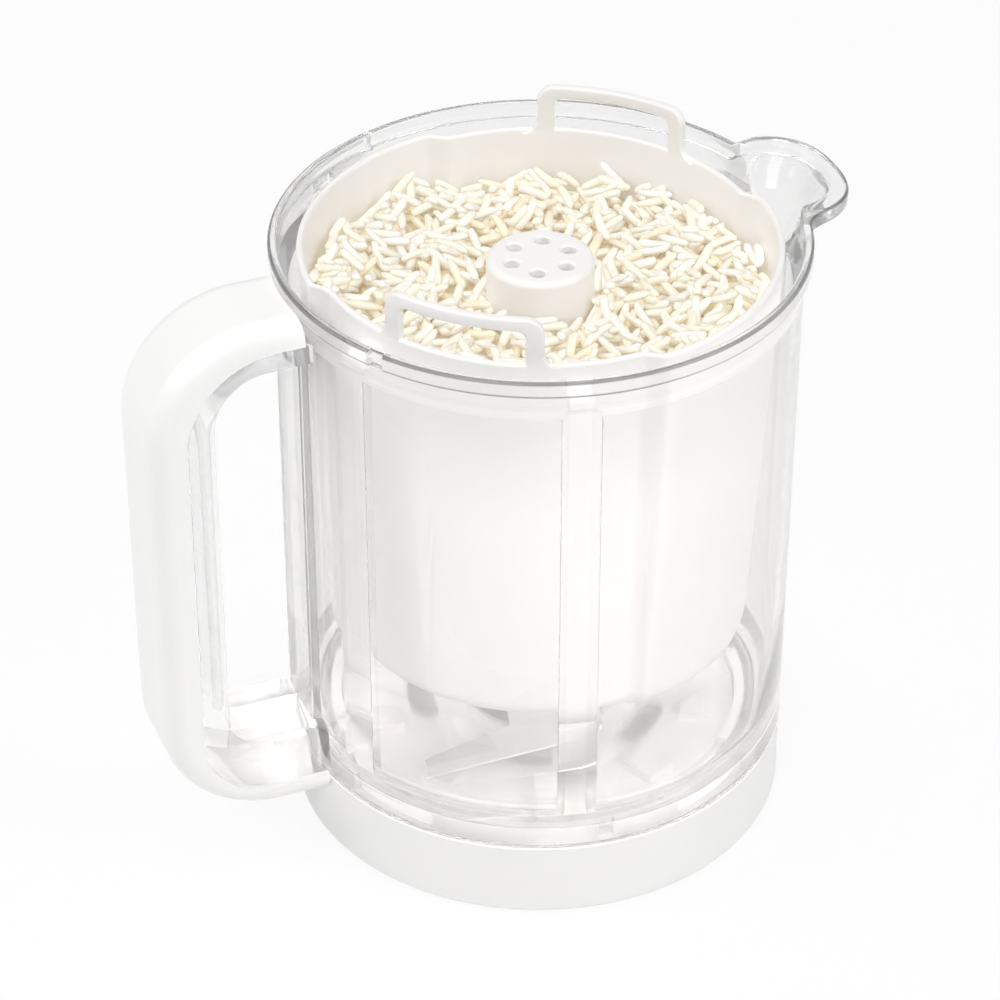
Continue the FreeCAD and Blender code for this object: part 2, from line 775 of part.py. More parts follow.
SEAT_FOOT = "housing_top + washer_thickness"
BLADE_FOOT = f"{SEAT_FOOT} + seat_thickness"
HUB_FOOT = f"{BLADE_FOOT} + blade_thickness"
HUB_TOP = f"{HUB_FOOT} + hub_height"
STUD_TOP = f"{HUB_TOP} + stud_length"
CLIP_TOP = "housing_foot - washer_thickness"
CLIP_FOOT = f"{CLIP_TOP} - clip_thickness"
CLIP_RADIUS = "shaft_radius + clip_wall"
COUPLING_TOP = f"{CLIP_FOOT} - coupling_gap"
COUPLING_HUB = "shaft_radius + coupling_hub_wall"
PLATE_TOP = f"{COUPLING_TOP} - coupling_hub_height"
CUP_TOP = f"{PLATE_TOP} - coupling_plate"
CUP_FOOT = f"{CUP_TOP} - coupling_cup"


def blade_shaft():
    groove = "shaft_radius - clip_groove"
    turned = revolved("shaft_turned", [
        ("0", CUP_TOP),
        ("shaft_radius", CUP_TOP),
        ("shaft_radius", CLIP_FOOT),
        (groove, CLIP_FOOT),
        (groove, CLIP_TOP),
        ("shaft_radius", CLIP_TOP),
        ("shaft_radius", HUB_TOP),
        ("stud_radius", HUB_TOP),
        ("stud_radius", STUD_TOP),
        ("0", STUD_TOP),
    ])
    return cut("blade_shaft", turned, cross_pin("shaft_pin_hole"))


def cross_pin(name):
    """The pin's cylinder, across the shaft along X."""
    pin = doc.addObject("Part::Cylinder", name)
    pin.Placement = Placement(Vector(0, 0, 0), Rotation(Vector(0, 1, 0), 90))
    bind(pin, Radius=named("pin_radius"), Height=named(f"2 * ( {COUPLING_HUB} )"))
    bind(pin, Placement__Base__x=named(f"0 - ( {COUPLING_HUB} )"))
    bind(pin, Placement__Base__z=named(f"( {PLATE_TOP} + {COUPLING_TOP} ) / 2"))
    return pin


def drive_coupling():
    cup_inner = "coupling_radius - coupling_wall"
    bore = "shaft_radius"
    cup = revolved("coupling_turned", [
        (cup_inner, CUP_FOOT),
        ("coupling_radius", CUP_FOOT),
        ("coupling_radius", PLATE_TOP),
        (COUPLING_HUB, PLATE_TOP),
        (COUPLING_HUB, COUPLING_TOP),
        (bore, COUPLING_TOP),
        (bore, CUP_TOP),
        (cup_inner, CUP_TOP),
    ])
    teeth = around("tooth_count", "0", lambda i, angle: bar(
        f"coupling_tooth_{i}", f"{cup_inner} - tooth_depth", f"{cup_inner} + coupling_wall / 2",
        "tooth_width", CUP_FOOT, f"{CUP_TOP} + coupling_plate / 2", angle))
    return cut("drive_coupling", fuse("coupling_toothed", [cup] + teeth), cross_pin("coupling_pin_hole"))


def coupling_pin():
    pin = cross_pin("coupling_pin")
    pin.Label = "coupling_pin"
    return pin


def circlip():
    ring = plain_ring("clip_ring", "shaft_radius - clip_groove", CLIP_RADIUS, CLIP_FOOT, CLIP_TOP)
    mouth = bar("clip_gap", "0", f"{CLIP_RADIUS} + overcut", "clip_mouth",
                f"{CLIP_FOOT} - overcut", f"{CLIP_TOP} + overcut", "90")
    return cut("circlip", ring, mouth)


def blade_arm(name):
    """One swept arm: out from the hub, then along a straight cutting edge to the tip."""
    body = new_body(name)
    sketch = new_sketch(body, name + "_outline", "XY_Plane", BLADE_FOOT)
    edge = "0 - cutting_edge_reach"
    tip = "0 - sqrt( blade_tip_radius ^ 2 - cutting_edge_reach ^ 2 )"
    outline(sketch, [
        ("arm_root", "0"),
        ("arm_elbow", f"{edge} + blade_bevel"),
        ("0 - arm_edge_start", edge),
        (tip, edge),
        (f"{tip} + blade_bevel / 2", f"{edge} + blade_width / 2"),
        ("0 - arm_crook", f"{edge} + blade_width"),
        ("0 - arm_root", "0"),
    ])
    pad = body.newObject("PartDesign::Pad", name + "_pad")
    pad.Profile = sketch
    bind(pad, Length=named("blade_thickness"))
    doc.recompute()
    top = number(HUB_FOOT)
    reach = number(edge)
    sharp = [f"Edge{i}" for i, item in enumerate(pad.Shape.Edges, start=1)
             if abs(item.BoundBox.YMax - reach) < NEAR and abs(item.BoundBox.ZMin - top) < NEAR]
    bevel = body.newObject("PartDesign::Chamfer", name + "_bevel")
    bevel.Base = (pad, sharp)
    bevel.ChamferType = "Two distances"
    bevel.FlipDirection = True
    bind(bevel, Size=named("blade_bevel"), Size2=named("blade_bevel_drop"))
    doc.recompute()
    return body


def blade():
    disc = cylinder("blade_disc", "seat_radius", BLADE_FOOT, HUB_FOOT)
    arm = blade_arm("blade_arm")
    other = doc.addObject("Part::Compound", "blade_other_arm")
    other.Links = [arm]
    other.Placement.Rotation = Rotation(Vector(0, 0, 1), 180)
    bore = cylinder("blade_bore", "shaft_radius", f"{BLADE_FOOT} - overcut", f"{HUB_FOOT} + overcut")
    return cut("blade", fuse("blade_arms", [disc, arm, other]), bore)


def blade_clamp():
    bore = "shaft_radius"
    seat = plain_ring("blade_seat", bore, "seat_radius", SEAT_FOOT, BLADE_FOOT)
    hub = revolved("blade_hub", [
        (bore, HUB_FOOT),
        ("seat_radius", HUB_FOOT),
        ("hub_top_radius", HUB_TOP),
        (bore, HUB_TOP),
    ])
    nut = "stud_radius + nut_wall"
    cap = revolved("cap_nut", [
        ("stud_radius", HUB_TOP),
        (nut, HUB_TOP),
        (nut, f"{HUB_TOP} + nut_height - nut_dome"),
        (f"{nut} - nut_dome", f"{HUB_TOP} + nut_height"),
        ("0", f"{HUB_TOP} + nut_height"),
        ("0", STUD_TOP),
        ("stud_radius", STUD_TOP),
    ])
    return [seat, hub, cap]


def washers():
    running = "shaft_radius + shaft_fit"
    return [
        plain_ring("thrust_washer", running, "shaft_radius + washer_wall", "housing_top", SEAT_FOOT),
        plain_ring("lower_washer", running, "bush_radius", CLIP_TOP, "housing_foot"),
    ]


# Rice basket

def basket_cone(name, top_radius, foot_radius, foot, rim, inset):
    """A full cone of the basket's wall, inset from its outer face, with its bottom edge rounded."""
    cone = revolved(name, [
        ("0", foot),
        (f"{foot_radius} - {inset}", foot),
        (f"{top_radius} - {inset}", rim),
        ("0", rim),
    ])
    return rounded(cone, f"basket_fillet - {inset}",
                   lambda edge: at_ring(edge, f"{foot_radius} - {inset}", foot))


def basket_volume(name, foot, rim, inset):
    """The narrow cone with the wide cone standing out of it on two opposite sides."""
    narrow = basket_cone(name + "_narrow", "narrow_top_radius", "narrow_foot_radius", foot, rim, inset)
    wide = basket_cone(name + "_wide", "wide_top_radius", "wide_foot_radius", foot, rim, inset)
    trim = f"2 * {inset} * 180 / ( pi * wide_foot_radius )"
    sides = fuse(name + "_sides", [
        sector(f"{name}_side_{turn}", "column_radius", "wide_top_radius + overcut", foot, rim,
               f"loop_axis + {turn}", f"wide_arc - {trim}") for turn in (90, 270)])
    return fuse(name, [narrow, common(name + "_wide_sides", [wide, sides])])


def loop_slab(name, width, low, high, corner):
    """A plate across the whole basket, facing the loops, with its upper corners rounded."""
    half = f"{width} / 2"
    body = padded_sideways(name + "_flat", [
        (f"0 - {half}", low),
        (half, low),
        (half, high),
        (f"0 - {half}", high),
    ], "2 * narrow_top_radius + 2 * overcut")
    edges = [edge.BoundBox for edge in body.Tip.Shape.Edges]
    top = max(box.ZMin for box in edges)
    side = max(box.XMin for box in edges)
    rounded(body, corner, lambda edge: abs(edge.BoundBox.ZMin - top) < NEAR
            and abs(abs(edge.BoundBox.Center.x) - side) < NEAR)
    turned = doc.addObject("Part::Compound", name)
    turned.Links = [body]
    turned.Placement.Rotation = Rotation(Vector(0, 0, 1), 1)
    bind(turned, Placement__Rotation__Angle=named("loop_axis - 90"))
    return turned


def basket_loops():
    """Two loops standing on the narrow wall, cut from one ring."""
    foot = "basket_rim - basket_wall"
    ring = plain_ring("loop_ring", "narrow_top_radius - loop_thickness", "narrow_top_radius",
                      foot, "loop_top")
    plate = loop_slab("loop_plate", "loop_width", foot, "loop_top", "loop_corner")
    window = loop_slab("loop_window", "( loop_width - 2 * loop_post )", "basket_rim", "loop_top - loop_bar",
                       "loop_corner - loop_bar / 2")
    return cut("basket_loops", common("loop_plates", [ring, plate]), window)


def rice_basket():
    inner_foot = "basket_foot + basket_wall"
    solid = basket_volume("basket_outside", "basket_foot", "basket_rim", "0")
    space = basket_volume("basket_inside", inner_foot, "basket_rim + overcut", "basket_wall")
    tube = revolved("column_turned", [
        ("column_foot_radius - column_wall", "basket_foot - overcut"),
        ("column_foot_radius - column_wall", "basket_foot"),
        ("column_radius - column_wall", "column_top - column_wall"),
        ("0", "column_top - column_wall"),
        ("0", "column_top"),
        ("column_radius", "column_top"),
        ("column_foot_radius", "basket_foot"),
        ("column_foot_radius", "basket_foot - overcut"),
    ])
    rounded(tube, "column_edge", lambda edge: at_ring(edge, "column_radius", "column_top"))
    mouth = cylinder("column_mouth", "column_foot_radius - column_wall / 2",
                     "basket_foot - 2 * overcut", f"{inner_foot} + overcut")
    below = cylinder("below_basket", "wide_top_radius", "basket_foot - 2 * overcut", "basket_foot")
    vents = around("vent_count", "vent_angle", lambda i, angle: cylinder(
        f"vent_{i}", "vent_radius", "column_top - column_wall - overcut", "column_top + overcut",
        *on_circle("vent_circle", angle)))
    tabs = []
    for turn in (0, 180):
        for sign in ("+", "-"):
            tabs.append(bar(f"seat_tab_{len(tabs)}", "narrow_top_radius - basket_wall", "seat_tab_reach",
                            "seat_tab_width", "rib_top", "rib_top + seat_tab_height",
                            f"rib_axis + {turn} {sign} rib_spread"))
    shell = cut("basket_shell", solid, fuse("basket_space", [space, mouth]))
    whole = fuse("basket_whole", [shell, tube, basket_loops()] + tabs)
    return cut("rice_basket", whole, fuse("basket_cuts", vents + [below]))


# Check everything, then write one file for each piece

PIECES = [
    jug_body(),
    handle_cover(),
    base_ring(),
    blade_carrier(),
    carrier_screws(),
    bearing_housing(),
    *seals_and_bushes(),
    blade_shaft(),
    *washers(),
    circlip(),
    drive_coupling(),
    coupling_pin(),
    *blade_clamp(),
    blade(),
    rice_basket(),
]

doc.recompute()
for item in doc.Objects:
    if "Invalid" in item.State or "Error" in item.State:
        raise RuntimeError(f"{item.Label} did not rebuild: {item.State}")
for piece in PIECES:
    if piece.Shape.isNull() or not piece.Shape.isValid():
        raise RuntimeError(f"{piece.Label} has no valid shape")
os.makedirs("parts", exist_ok=True)
for piece in PIECES:
    piece.Shape.exportStep(f"parts/{piece.Label}.step")
    box = piece.Shape.BoundBox
    print(f"{piece.Label}: {len(piece.Shape.Solids)} solids, {piece.Shape.Volume / 1000:.2f} cm3,"
          f" x {box.XMin:.1f} {box.XMax:.1f} y {box.YMin:.1f} {box.YMax:.1f} z {box.ZMin:.1f} {box.ZMax:.1f}")
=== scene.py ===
import math
import random

import bmesh
import bpy
import numpy as np
from mathutils import Matrix, Vector


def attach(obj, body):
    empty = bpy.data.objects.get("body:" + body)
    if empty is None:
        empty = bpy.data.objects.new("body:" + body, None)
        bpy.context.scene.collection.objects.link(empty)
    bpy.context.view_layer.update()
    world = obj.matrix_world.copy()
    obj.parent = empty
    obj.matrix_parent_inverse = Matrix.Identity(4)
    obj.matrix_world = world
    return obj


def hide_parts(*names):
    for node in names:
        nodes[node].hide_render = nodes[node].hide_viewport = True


# Looks of the work bowl: a clear jug, a white handle cover and base ring, a rice basket full of rice.
# Shapes are worked out in millimetres in the frame of the solids and scaled once, when a mesh is made.

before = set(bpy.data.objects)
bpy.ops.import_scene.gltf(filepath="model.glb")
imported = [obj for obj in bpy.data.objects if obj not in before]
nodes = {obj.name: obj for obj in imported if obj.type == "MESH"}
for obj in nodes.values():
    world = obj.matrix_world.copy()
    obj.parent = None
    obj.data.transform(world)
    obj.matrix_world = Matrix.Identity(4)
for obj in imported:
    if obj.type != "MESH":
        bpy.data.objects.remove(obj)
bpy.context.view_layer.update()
MM = 0.001

# Angles of a sharp edge and between the closest sections, distance of points taken as one, a far gap

SHARP, CLOSEST_TURN, SAME_PLACE, STEEP_GAP = 40.0, 0.04, 1e-7, 30.0


# Small helpers

def smooth(t):
    """0 below 0, 1 above 1, with a soft start and stop between."""
    t = min(max(t, 0.0), 1.0)
    return t * t * (3.0 - 2.0 * t)


def mix(a, b, share):
    return a + (b - a) * share


def larger(a, b, softness):
    """The larger of two numbers, rounded where they meet."""
    gap = (b - a) / softness
    if gap > STEEP_GAP:
        return b
    return a + softness * math.log1p(math.exp(gap))


def turn_between(a, b):
    """Signed angle in degrees from b to a, between -180 and 180."""
    return (a - b + 180.0) % 360.0 - 180.0


def spread(low, high, count):
    return [mix(low, high, i / (count - 1)) for i in range(count)]


def arc(centre, radius, start, end, count):
    """Points on an arc in a plane, angles in degrees."""
    turns = [math.radians(a) for a in spread(start, end, count)]
    return [(centre[0] + radius * math.cos(t), centre[1] + radius * math.sin(t)) for t in turns]


def angles_with(step, marks):
    """Angles round the full circle in degrees, with more of them beside each marked edge."""
    found = {round(i * step, 3) for i in range(int(360 / step))}
    for mark, reach, count in marks:
        found |= {round((mark + offset) % 360.0, 3) for offset in spread(-reach, reach, count)}
    ordered = sorted(found)
    return [a for i, a in enumerate(ordered) if i == 0 or a - ordered[i - 1] > CLOSEST_TURN]


def mesh_object(name, points, faces):
    """A closed mesh object from points in millimetres, shaded smooth but for its sharp edges."""
    mesh = bpy.data.meshes.new(name)
    mesh.from_pydata([tuple(c * MM for c in p) for p in points], [], faces)
    tidy = bmesh.new()
    tidy.from_mesh(mesh)
    bmesh.ops.remove_doubles(tidy, verts=tidy.verts, dist=SAME_PLACE)
    bmesh.ops.recalc_face_normals(tidy, faces=tidy.faces)
    tidy.to_mesh(mesh)
    tidy.free()
    shade(mesh)
    return placed(name, mesh)


def placed(name, data):
    """A new object in the scene with this mesh, lamp or camera."""
    obj = bpy.data.objects.new(name, data)
    bpy.context.scene.collection.objects.link(obj)
    return obj


def shade(mesh):
    """Shade smooth, but for edges sharper than a set angle."""
    mesh.polygons.foreach_set("use_smooth", [True] * len(mesh.polygons))
    mesh.set_sharp_from_angle(angle=math.radians(SHARP))


def turned_shape(name, angles, section, closed):
    """A mesh round the Z axis; section(angle) gives its (radius, height) points at that angle."""
    rows = [section(a) for a in angles]
    count, turns = len(rows[0]), len(angles)
    points = [(r * math.cos(math.radians(a)), r * math.sin(math.radians(a)), z)
              for a, row in zip(angles, rows) for r, z in row]
    faces = []
    for i in range(turns):
        here, there = i * count, (i + 1) % turns * count
        for j in range(count if closed else count - 1):
            following = (j + 1) % count
            faces.append((here + j, there + j, there + following, here + following))
    return mesh_object(name, points, faces)


def ribbon(name, inner, outer, half, inner_round, outer_round, bend=None):
    """A bar between two paths of (x, z) points, with rounded edges, as wide as twice half along Y."""
    steps = 5
    points = []
    for (ix, iz), (ox, oz) in zip(inner, outer):
        length = math.hypot(ox - ix, oz - iz)
        corners = [
            (outer_round, length - outer_round, half - outer_round, 0.0),
            (inner_round, inner_round, half - inner_round, 90.0),
            (inner_round, inner_round, inner_round - half, 180.0),
            (outer_round, length - outer_round, outer_round - half, 270.0),
        ]
        for radius, along, across, start in corners:
            for u, y in arc((along, across), radius, start, start + 90.0, steps):
                point = (mix(ix, ox, u / length), y, mix(iz, oz, u / length))
                points.append(bend(point) if bend else point)
    ring, stations = 4 * steps, len(inner)
    faces = [tuple(range(ring)), tuple(range((stations - 1) * ring, stations * ring))]
    for i in range(stations - 1):
        for j in range(ring):
            k = (j + 1) % ring
            faces.append((i * ring + j, i * ring + k, (i + 1) * ring + k, (i + 1) * ring + j))
    return mesh_object(name, points, faces)


def block(name, low, high, edge, turn=0.0):
    """A box with rounded edges between two corners, turned about the Z axis."""
    bm = bmesh.new()
    bmesh.ops.create_cube(bm, size=1.0)
    middle = [(a + b) / 2 for a, b in zip(low, high)]
    size = [b - a for a, b in zip(low, high)]
    for vert in bm.verts:
        vert.co = Vector([m + s * c for m, s, c in zip(middle, size, vert.co)])
    bmesh.ops.bevel(bm, geom=bm.edges, offset=edge, segments=3, profile=0.5, affect="EDGES")
    bmesh.ops.rotate(bm, verts=bm.verts, cent=(0, 0, 0), matrix=Matrix.Rotation(math.radians(turn), 3, "Z"))
    bmesh.ops.scale(bm, verts=bm.verts, vec=(MM, MM, MM))
    mesh = bpy.data.meshes.new(name)
    bm.to_mesh(mesh)
    bm.free()
    shade(mesh)
    return placed(name, mesh)


def combine(target, tools, operation):
    """Join tools to the target, or cut them from it, and remove them."""
    for tool in tools:
        step = target.modifiers.new(operation.lower(), "BOOLEAN")
        step.operation = operation
        step.solver = "MANIFOLD"
        step.object = tool
    graph = bpy.context.evaluated_depsgraph_get()
    result = bpy.data.meshes.new_from_object(target.evaluated_get(graph))
    target.modifiers.clear()
    target.data = result
    for tool in tools:
        bpy.data.objects.remove(tool)
    shade(result)


# Jug: wall, rim, spout, ribs and floor as one turned shape, then the handle's core joined to it

WALL_FOOT, WALL_TOP, WALL = 64.0, 64.4, 2.6
RIM, LIP_INNER, RIM_TOP, BAND_FOOT = 66.48, 64.2, 162.8, 158.0
FLARE_FOOT, FLARE_TOP_RADIUS = 152.0, 65.0
SEAT_LOW, SEAT_HIGH = 152.4, 154.8
FLOOR, FLOOR_UNDER, FLOOR_HOLE, FLOOR_FILLET = 27.5, 24.5, 15.0, 7.0
SKIRT_OUTER, SKIRT_INNER, SKIRT_FOOT, STEP = 61.2, 58.5, 10.5, 20.8
RIB_ANGLES, RIB_FACE, RIB_HALF, RIB_TOP = (201.4, 256.6, 21.4, 76.6), 56.8, 3.5, 151.5
BREAKS, BREAK_RADIUS = ((212.0, 1.7), (109.5, 0.5)), 65.1
LUG_ANGLES, LUG_HALF, LUG_DEPTH, LUG_TOP = (253.0, 343.0, 73.0, 163.0), 8.0, 2.4, 13.1
SPOUT_FOOT, SPOUT_RISE, SPOUT_POWER = 138.0, 2.2, 2.6
LIP_CENTRE, LIP_LONG, LIP_WIDE, LIP_BEAD = 58.0, 21.5, 20.5, 4.6
POUCH_STEP, POUCH_WALL = 2.4, 2.4
FOOT_CENTRE, FOOT_LONG, FOOT_WIDE = 53.0, 11.0, 7.0
SPOUT_TURN, SPOUT_EASE, BEAD_LIFT, HALVINGS = 20.0, 4.0, 1.2, 40
LIP_BLEND, WALL_BLEND, RIB_SOFT, BREAK_SOFT, LUG_SOFT = 0.5, 0.4, 2.4, 0.5, 0.4
INNER_ROUND, OUTER_ROUND, BEAD_ROUND = 0.9, 1.0, 1.4
CHAMFER, FINE_CHAMFER, SKIRT_CHAMFER, HAIR, RIB_TAPER = 0.5, 0.4, 0.6, 0.05, 0.9

# Where the jug's section has points between its corners: radii of the floor, heights of the wall

FLOOR_RINGS = (25.0, 40.0)
WALL_LEVELS = (60.0, 90.0, 115.0, 130.0, 138.0)
INNER_LEVELS = (141.0, 144.0, 147.0, 149.5)
LIP_LEVELS = (156.0, 158.0, 160.0)
FLARE_LEVELS = (157.2, 156.0, 154.5, 153.2)
OUTER_LEVELS = (150.5, 148.0, 145.0, 142.0, 140.0)
JUG_STEP, RIB_MARK, BREAK_MARK, LUG_MARK, SPOUT_MARK = 1.5, (1.3, 14), (0.4, 7), (0.4, 5), (24.0, 97)


def oval_reach(angle, centre, long, wide):
    """How far out a ray from the axis leaves a squared oval on the X axis, or 0 if it misses."""
    c, s = math.cos(math.radians(angle)), abs(math.sin(math.radians(angle)))
    if c <= 0 or centre * s / c >= wide:
        return 0.0
    low, high = centre, centre + 2 * long
    for _ in range(HALVINGS):
        middle = (low + high) / 2
        past = (abs(middle * c - centre) / long) ** SPOUT_POWER + (middle * s / wide) ** SPOUT_POWER
        low, high = (middle, high) if past < 1.0 else (low, middle)
    return low


def pouch_reach(angle, z, inset):
    """The spout's pouch at a height: full under the lip, narrow where it runs out on the wall."""
    share = min(max((z - SPOUT_FOOT) / (RIM_TOP + SPOUT_RISE - SPOUT_FOOT), 0.0), 1.0)
    if share <= 0.0:
        return 0.0
    centre = mix(FOOT_CENTRE, LIP_CENTRE, share)
    long = mix(FOOT_LONG, LIP_LONG - POUCH_STEP, share) - inset
    wide = mix(FOOT_WIDE, LIP_WIDE - POUCH_STEP, share) - inset
    return oval_reach(angle, centre, long, wide)


def near_any(angle, centres, half, soft):
    """1 within half of one of the centres, falling to 0 over soft degrees."""
    gap = min(abs(turn_between(angle, c)) for c in centres)
    return smooth((half + soft / 2 - gap) / soft)


def jug_section(angle):
    """The jug's outline at an angle: floor, inside of the wall, rim, outside of the wall, skirt."""
    side = turn_between(angle, 0.0)
    lift = SPOUT_RISE * smooth((SPOUT_TURN - abs(side)) / SPOUT_EASE)
    top = RIM_TOP + lift
    bead_foot = BAND_FOOT + lift * BEAD_LIFT
    outer_lip = larger(RIM, oval_reach(side, LIP_CENTRE, LIP_LONG, LIP_WIDE), LIP_BLEND)
    inner_oval = oval_reach(side, LIP_CENTRE, LIP_LONG - LIP_BEAD, LIP_WIDE - LIP_BEAD)
    inner_lip = larger(LIP_INNER, inner_oval, LIP_BLEND)
    gap = max(near_any(angle, (centre,), half, BREAK_SOFT) for centre, half in BREAKS)
    outer_lip = mix(outer_lip, BREAK_RADIUS, gap)
    rib_share = near_any(angle, RIB_ANGLES, RIB_HALF, RIB_SOFT)
    rib_gap = min((turn_between(angle, c) for c in RIB_ANGLES), key=abs)
    rib_radius = RIB_FACE / math.cos(math.radians(min(max(rib_gap, -RIB_HALF), RIB_HALF)))
    lug_face = SKIRT_INNER - LUG_DEPTH * near_any(angle, LUG_ANGLES, LUG_HALF, LUG_SOFT)

    def inner(z, rib=0.0):
        plain = mix(WALL_FOOT - WALL, WALL_TOP - WALL, (z - FLOOR) / (SEAT_LOW - FLOOR))
        if z > SEAT_LOW:
            plain = mix(WALL_TOP - WALL, LIP_INNER, min((z - SEAT_LOW) / (SEAT_HIGH - SEAT_LOW), 1.0))
        plain = larger(plain, pouch_reach(side, z, POUCH_WALL), WALL_BLEND)
        return mix(plain, min(plain, rib_radius), rib_share * rib), z

    def outer(z):
        plain = mix(WALL_FOOT, WALL_TOP, (z - STEP) / (FLARE_FOOT - STEP))
        if z > FLARE_FOOT:
            plain = mix(WALL_TOP, FLARE_TOP_RADIUS, smooth((z - FLARE_FOOT) / (BAND_FOOT - FLARE_FOOT)))
        return larger(plain, pouch_reach(side, z, 0.0), WALL_BLEND), z

    fillet = arc((WALL_FOOT - WALL - FLOOR_FILLET, FLOOR + FLOOR_FILLET), FLOOR_FILLET, 270.0, 360.0, 9)
    points = [(FLOOR_HOLE, FLOOR_UNDER), (FLOOR_HOLE, FLOOR - CHAMFER), (FLOOR_HOLE + CHAMFER, FLOOR)]
    points += [(r, FLOOR) for r in FLOOR_RINGS]
    points += [(mix(r, min(r, rib_radius), rib_share), z) for r, z in fillet]
    points += [inner(z, 1.0) for z in (*WALL_LEVELS, *INNER_LEVELS, RIB_TOP - CHAMFER)]
    points += [inner(RIB_TOP - HAIR, RIB_TAPER)]
    points += [inner(z) for z in (RIB_TOP, SEAT_LOW, SEAT_HIGH, *LIP_LEVELS)]
    points += arc((inner_lip + INNER_ROUND, top - INNER_ROUND), INNER_ROUND, 180.0, 90.0, 5)
    points += arc((outer_lip - OUTER_ROUND, top - OUTER_ROUND), OUTER_ROUND, 90.0, 0.0, 6)
    points += arc((outer_lip - BEAD_ROUND, bead_foot + BEAD_ROUND), BEAD_ROUND, 0.0, -90.0, 6)
    points += [outer(z) for z in (bead_foot, *FLARE_LEVELS, FLARE_FOOT, *OUTER_LEVELS)]
    points += [outer(z) for z in (*reversed(WALL_LEVELS), STEP + FINE_CHAMFER)]
    points += [(WALL_FOOT - FINE_CHAMFER, STEP), (SKIRT_OUTER, STEP)]
    points += [(SKIRT_OUTER, SKIRT_FOOT + FINE_CHAMFER), (SKIRT_OUTER - FINE_CHAMFER, SKIRT_FOOT)]
    points += [(lug_face + FINE_CHAMFER, SKIRT_FOOT), (lug_face, SKIRT_FOOT + FINE_CHAMFER)]
    points += [(lug_face, LUG_TOP - HAIR), (SKIRT_INNER, LUG_TOP)]
    points += [(SKIRT_INNER, FLOOR_UNDER - SKIRT_CHAMFER), (SKIRT_INNER - SKIRT_CHAMFER, FLOOR_UNDER)]
    points += [(r, FLOOR_UNDER) for r in reversed(FLOOR_RINGS)]
    return points


CORE_ROOT, CORE_HALF = -62.5, 12.5
CORE_OUTER = {"back": -96.0, "top": 153.5, "foot": 22.6, "top_corner": 24.0, "foot_corner": 19.0}
CORE_INNER = {"back": -88.0, "top": 146.5, "foot": 37.7, "top_corner": 14.0, "foot_corner": 5.0}
CORE_INNER_ROUND, CORE_OUTER_ROUND = 3.2, 0.6
SPINE_LOW, SPINE_HIGH, SPINE_EDGE = (-66.0, -9.0, 34.0), (-62.4, 9.0, 150.0), 0.9
CATCH_LOW, CATCH_HIGH, CATCH_EDGE, CATCH_TURN = (62.0, -3.8, 155.0), (65.2, 3.8, 158.0), 0.5, 126.0


def handle_path(back, top, foot, top_corner, foot_corner):
    """A C from the wall out along the top, down the back and in along the foot."""
    path = [(x, top) for x in spread(CORE_ROOT, back + top_corner, 8)][:-1]
    path += arc((back + top_corner, top - top_corner), top_corner, 90.0, 180.0, 18)
    path += [(back, z) for z in spread(top - top_corner, foot + foot_corner, 10)][1:-1]
    path += arc((back + foot_corner, foot + foot_corner), foot_corner, 180.0, 270.0, 14)
    path += [(x, foot) for x in spread(back + foot_corner, CORE_ROOT, 8)][1:]
    return path


def make_jug():
    marks = [(a + s * RIB_HALF, *RIB_MARK) for a in RIB_ANGLES for s in (-1, 1)]
    marks += [(a + s * half, *BREAK_MARK) for a, half in BREAKS for s in (-1, 1)]
    marks += [(a + s * LUG_HALF, *LUG_MARK) for a in LUG_ANGLES for s in (-1, 1)]
    marks += [(0.0, *SPOUT_MARK)]
    jug = turned_shape("clear_jug", angles_with(JUG_STEP, marks), jug_section, True)
    paths = handle_path(**CORE_INNER), handle_path(**CORE_OUTER)
    core = ribbon("core", *paths, CORE_HALF, CORE_INNER_ROUND, CORE_OUTER_ROUND)
    spine = block("spine", SPINE_LOW, SPINE_HIGH, SPINE_EDGE)
    catch = block("catch", CATCH_LOW, CATCH_HIGH, CATCH_EDGE, CATCH_TURN)
    combine(jug, [core, spine, catch], "UNION")
    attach(jug, "jug")
    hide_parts("jug_body")
    jug.visible_shadow = False
    return jug


# Basket: a wavy cup with a column, turned, then loops and seat tabs joined and vents cut

BASKET_RIM, BASKET_FOOT, BASKET_WALL, BASKET_FILLET = 160.8, 52.0, 1.8, 6.0
WIDE_TOP, WIDE_FOOT, NARROW_TOP, NARROW_FOOT = 59.5, 53.5, 56.0, 50.8
WIDE_CENTRES, WIDE_HALF, WIDE_SOFT = (137.5, 317.5), 42.5, 6.0
COLUMN_TOP, COLUMN_RADIUS, COLUMN_FOOT_RADIUS, COLUMN_WALL, COLUMN_EDGE = 156.0, 13.3, 14.6, 1.8, 1.7
VENT_COUNT, VENT_CIRCLE, VENT_RADIUS, VENT_TURN = 6, 7.7, 1.9, 3.0
LOOP_AXIS, LOOP_RADIUS, LOOP_HALF_THICK, LOOP_TOP = 47.5, 54.8, 1.2, 173.0
LOOP_HALF_WIDE, LOOP_POST, LOOP_BAR, LOOP_SINK = 20.0, 4.4, 3.4, 1.2
LOOP_CORNER, LOOP_INNER_CORNER, LOOP_FLARE, LOOP_ROUND, LOOP_PLAIN = 4.2, 2.0, 4.0, 0.7, 3.0
TAB_LOW, TAB_HIGH, TAB_EDGE = (54.6, -3.0, RIB_TOP), (59.6, 3.0, RIB_TOP + 3.0), 0.5
CAP_RINGS, COLUMN_STEPS, COLUMN_HEAD, COLUMN_ROUND = (0.0, 5.0, 10.0), 6, 4.0, 2.0
BASKET_LEVELS, BASKET_RING, LEVEL_GAP, NICK = 12, 30.0, 2.0, 0.5
VENT_DEPTH, VENT_FLARE, VENT_PAST, VENT_SIDES = 4.0, 0.55, 0.1, 40
BASKET_STEP, WIDE_MARK = 2.0, (4.0, 17)


